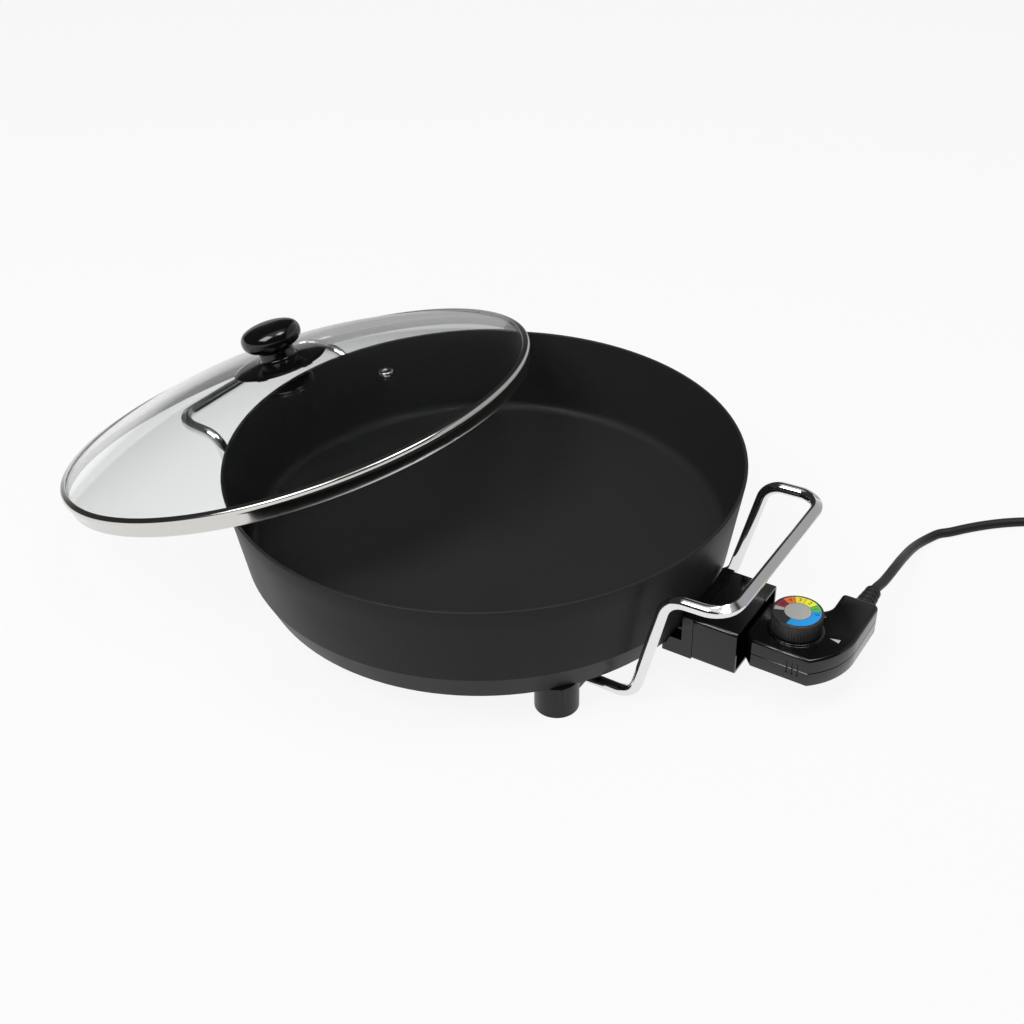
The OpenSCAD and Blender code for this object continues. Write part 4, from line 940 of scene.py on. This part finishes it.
floor_half, paper_grey, floor_glow = 12, 0.55, 0.9
far_from, far_to, far_loss = 0.1, 0.45, 0.58
floor_mesh = bpy.data.meshes.new("floor")
floor_mesh.from_pydata([(x * floor_half, y * floor_half, table_z * MM) for x, y in
                        [(-1, -1), (1, -1), (1, 1), (-1, 1)]], [], [(0, 1, 2, 3)])
floor = bpy.data.objects.new("floor", floor_mesh)
bpy.context.scene.collection.objects.link(floor)
white = bpy.data.materials.new("white_sweep")
white.use_nodes = True
tree = white.node_tree
nodes, links = tree.nodes, tree.links
nodes.clear()
paper = nodes.new("ShaderNodeBsdfDiffuse")
paper.inputs["Color"].default_value = (paper_grey, paper_grey, paper_grey, 1)
glow = nodes.new("ShaderNodeEmission")
glow.inputs["Color"].default_value = (1, 1, 1, 1)
place = nodes.new("ShaderNodeTexCoord")
split = nodes.new("ShaderNodeSeparateXYZ")
links.new(place.outputs["Object"], split.inputs["Vector"])
far_floor = nodes.new("ShaderNodeMapRange")
far_floor.inputs["From Min"].default_value = far_from
far_floor.inputs["From Max"].default_value = far_to
far_floor.inputs["To Max"].default_value = far_loss
links.new(split.outputs["Y"], far_floor.inputs["Value"])
eye_ray, glossy_ray, clear_ray, diffuse_depth, glossy_depth = ray_kinds(tree)
loss = computed(tree, "MULTIPLY", far_floor.outputs["Result"], glossy_ray)
links.new(computed(tree, "SUBTRACT", 1, loss), glow.inputs["Strength"])
through_glass = computed(tree, "SUBTRACT", clear_ray, diffuse_depth, clamp=True)
seen = computed(tree, "MAXIMUM", computed(tree, "MAXIMUM", eye_ray, glossy_ray), through_glass)
mix = nodes.new("ShaderNodeMixShader")
out = nodes.new("ShaderNodeOutputMaterial")
links.new(computed(tree, "MULTIPLY", seen, floor_glow), mix.inputs["Fac"])
links.new(paper.outputs["BSDF"], mix.inputs[1])
links.new(glow.outputs["Emission"], mix.inputs[2])
links.new(mix.outputs["Shader"], out.inputs["Surface"])
floor_mesh.materials.append(white)

world = bpy.data.worlds.new("studio")
bpy.context.scene.world = world
world.use_nodes = True
tree = world.node_tree
nodes, links = tree.nodes, tree.links
nodes.clear()
way = nodes.new("ShaderNodeTexCoord")
split = nodes.new("ShaderNodeSeparateXYZ")
links.new(way.outputs["Generated"], split.inputs["Vector"])
beyond = nodes.new("ShaderNodeVectorMath")
beyond.operation = "DOT_PRODUCT"
beyond.inputs[1].default_value = (0.43, 0.9, 0)
links.new(way.outputs["Generated"], beyond.inputs[0])
turn_over = nodes.new("ShaderNodeMapRange")
turn_over.interpolation_type = "SMOOTHSTEP"
turn_over.inputs["From Min"].default_value = 0.56
turn_over.inputs["From Max"].default_value = 0.68
links.new(beyond.outputs["Value"], turn_over.inputs["Value"])
room = nodes.new("ShaderNodeMix")
room.data_type = "RGBA"
links.new(turn_over.outputs["Result"], room.inputs["Factor"])
for side, levels in [("A", [(0, 0.5), (0.03, 0.04), (0.2, 0.03), (0.8, 0.03)]),
                     ("B", [(0, 0.9), (0.12, 0.6), (0.3, 0.45), (0.8, 0.36)])]:
    ramp = nodes.new("ShaderNodeValToRGB")
    for (height, light), stop in zip(levels, [ramp.color_ramp.elements[0]] + [
            ramp.color_ramp.elements.new(height) for height, _ in levels[1:]]):
        stop.position = height
        stop.color = (light, light, light, 1)
    links.new(split.outputs["Z"], ramp.inputs["Fac"])
    links.new(ramp.outputs["Color"], room.inputs[side])
eye_ray, glossy_ray, clear_ray, diffuse_depth, glossy_depth = ray_kinds(tree)
in_gloss = computed(tree, "MAXIMUM", glossy_ray,
                    computed(tree, "MULTIPLY", clear_ray, glossy_depth))
bounced = computed(tree, "ADD", diffuse_depth, glossy_depth)
through_glass = computed(tree, "SUBTRACT", clear_ray, bounced, clamp=True)
soft = nodes.new("ShaderNodeMix")
soft.data_type = "RGBA"
soft.inputs["A"].default_value = (0.28, 0.28, 0.28, 1)
links.new(room.outputs["Result"], soft.inputs["B"])
links.new(in_gloss, soft.inputs["Factor"])
pale = nodes.new("ShaderNodeMix")
pale.data_type = "RGBA"
pale.inputs["B"].default_value = (1, 1, 1, 1)
links.new(soft.outputs["Result"], pale.inputs["A"])
links.new(computed(tree, "MAXIMUM", eye_ray, through_glass), pale.inputs["Factor"])
back = nodes.new("ShaderNodeBackground")
out = nodes.new("ShaderNodeOutputWorld")
links.new(pale.outputs["Result"], back.inputs["Color"])
links.new(back.outputs["Background"], out.inputs["Surface"])

aim = Vector((0.03, 0, 0))
for name, place, size, power in [("key_soft_lamp", (-0.3, -1.3, 1.95), (1.25, 1.4), 46),
                                 ("overhead_soft_lamp", (0.6, 0.2, 2.15), (0.8, 0.8), 18)]:
    lamp = bpy.data.lights.new(name, "AREA")
    lamp.shape = "RECTANGLE"
    lamp.size, lamp.size_y = size
    lamp.energy = power
    stand = bpy.data.objects.new(name, lamp)
    stand.matrix_world = (Matrix.Translation(place)
                          @ (aim - Vector(place)).to_track_quat("-Z", "Y").to_matrix().to_4x4())
    bpy.context.scene.collection.objects.link(stand)

bpy.context.scene.view_settings.view_transform = "Standard"
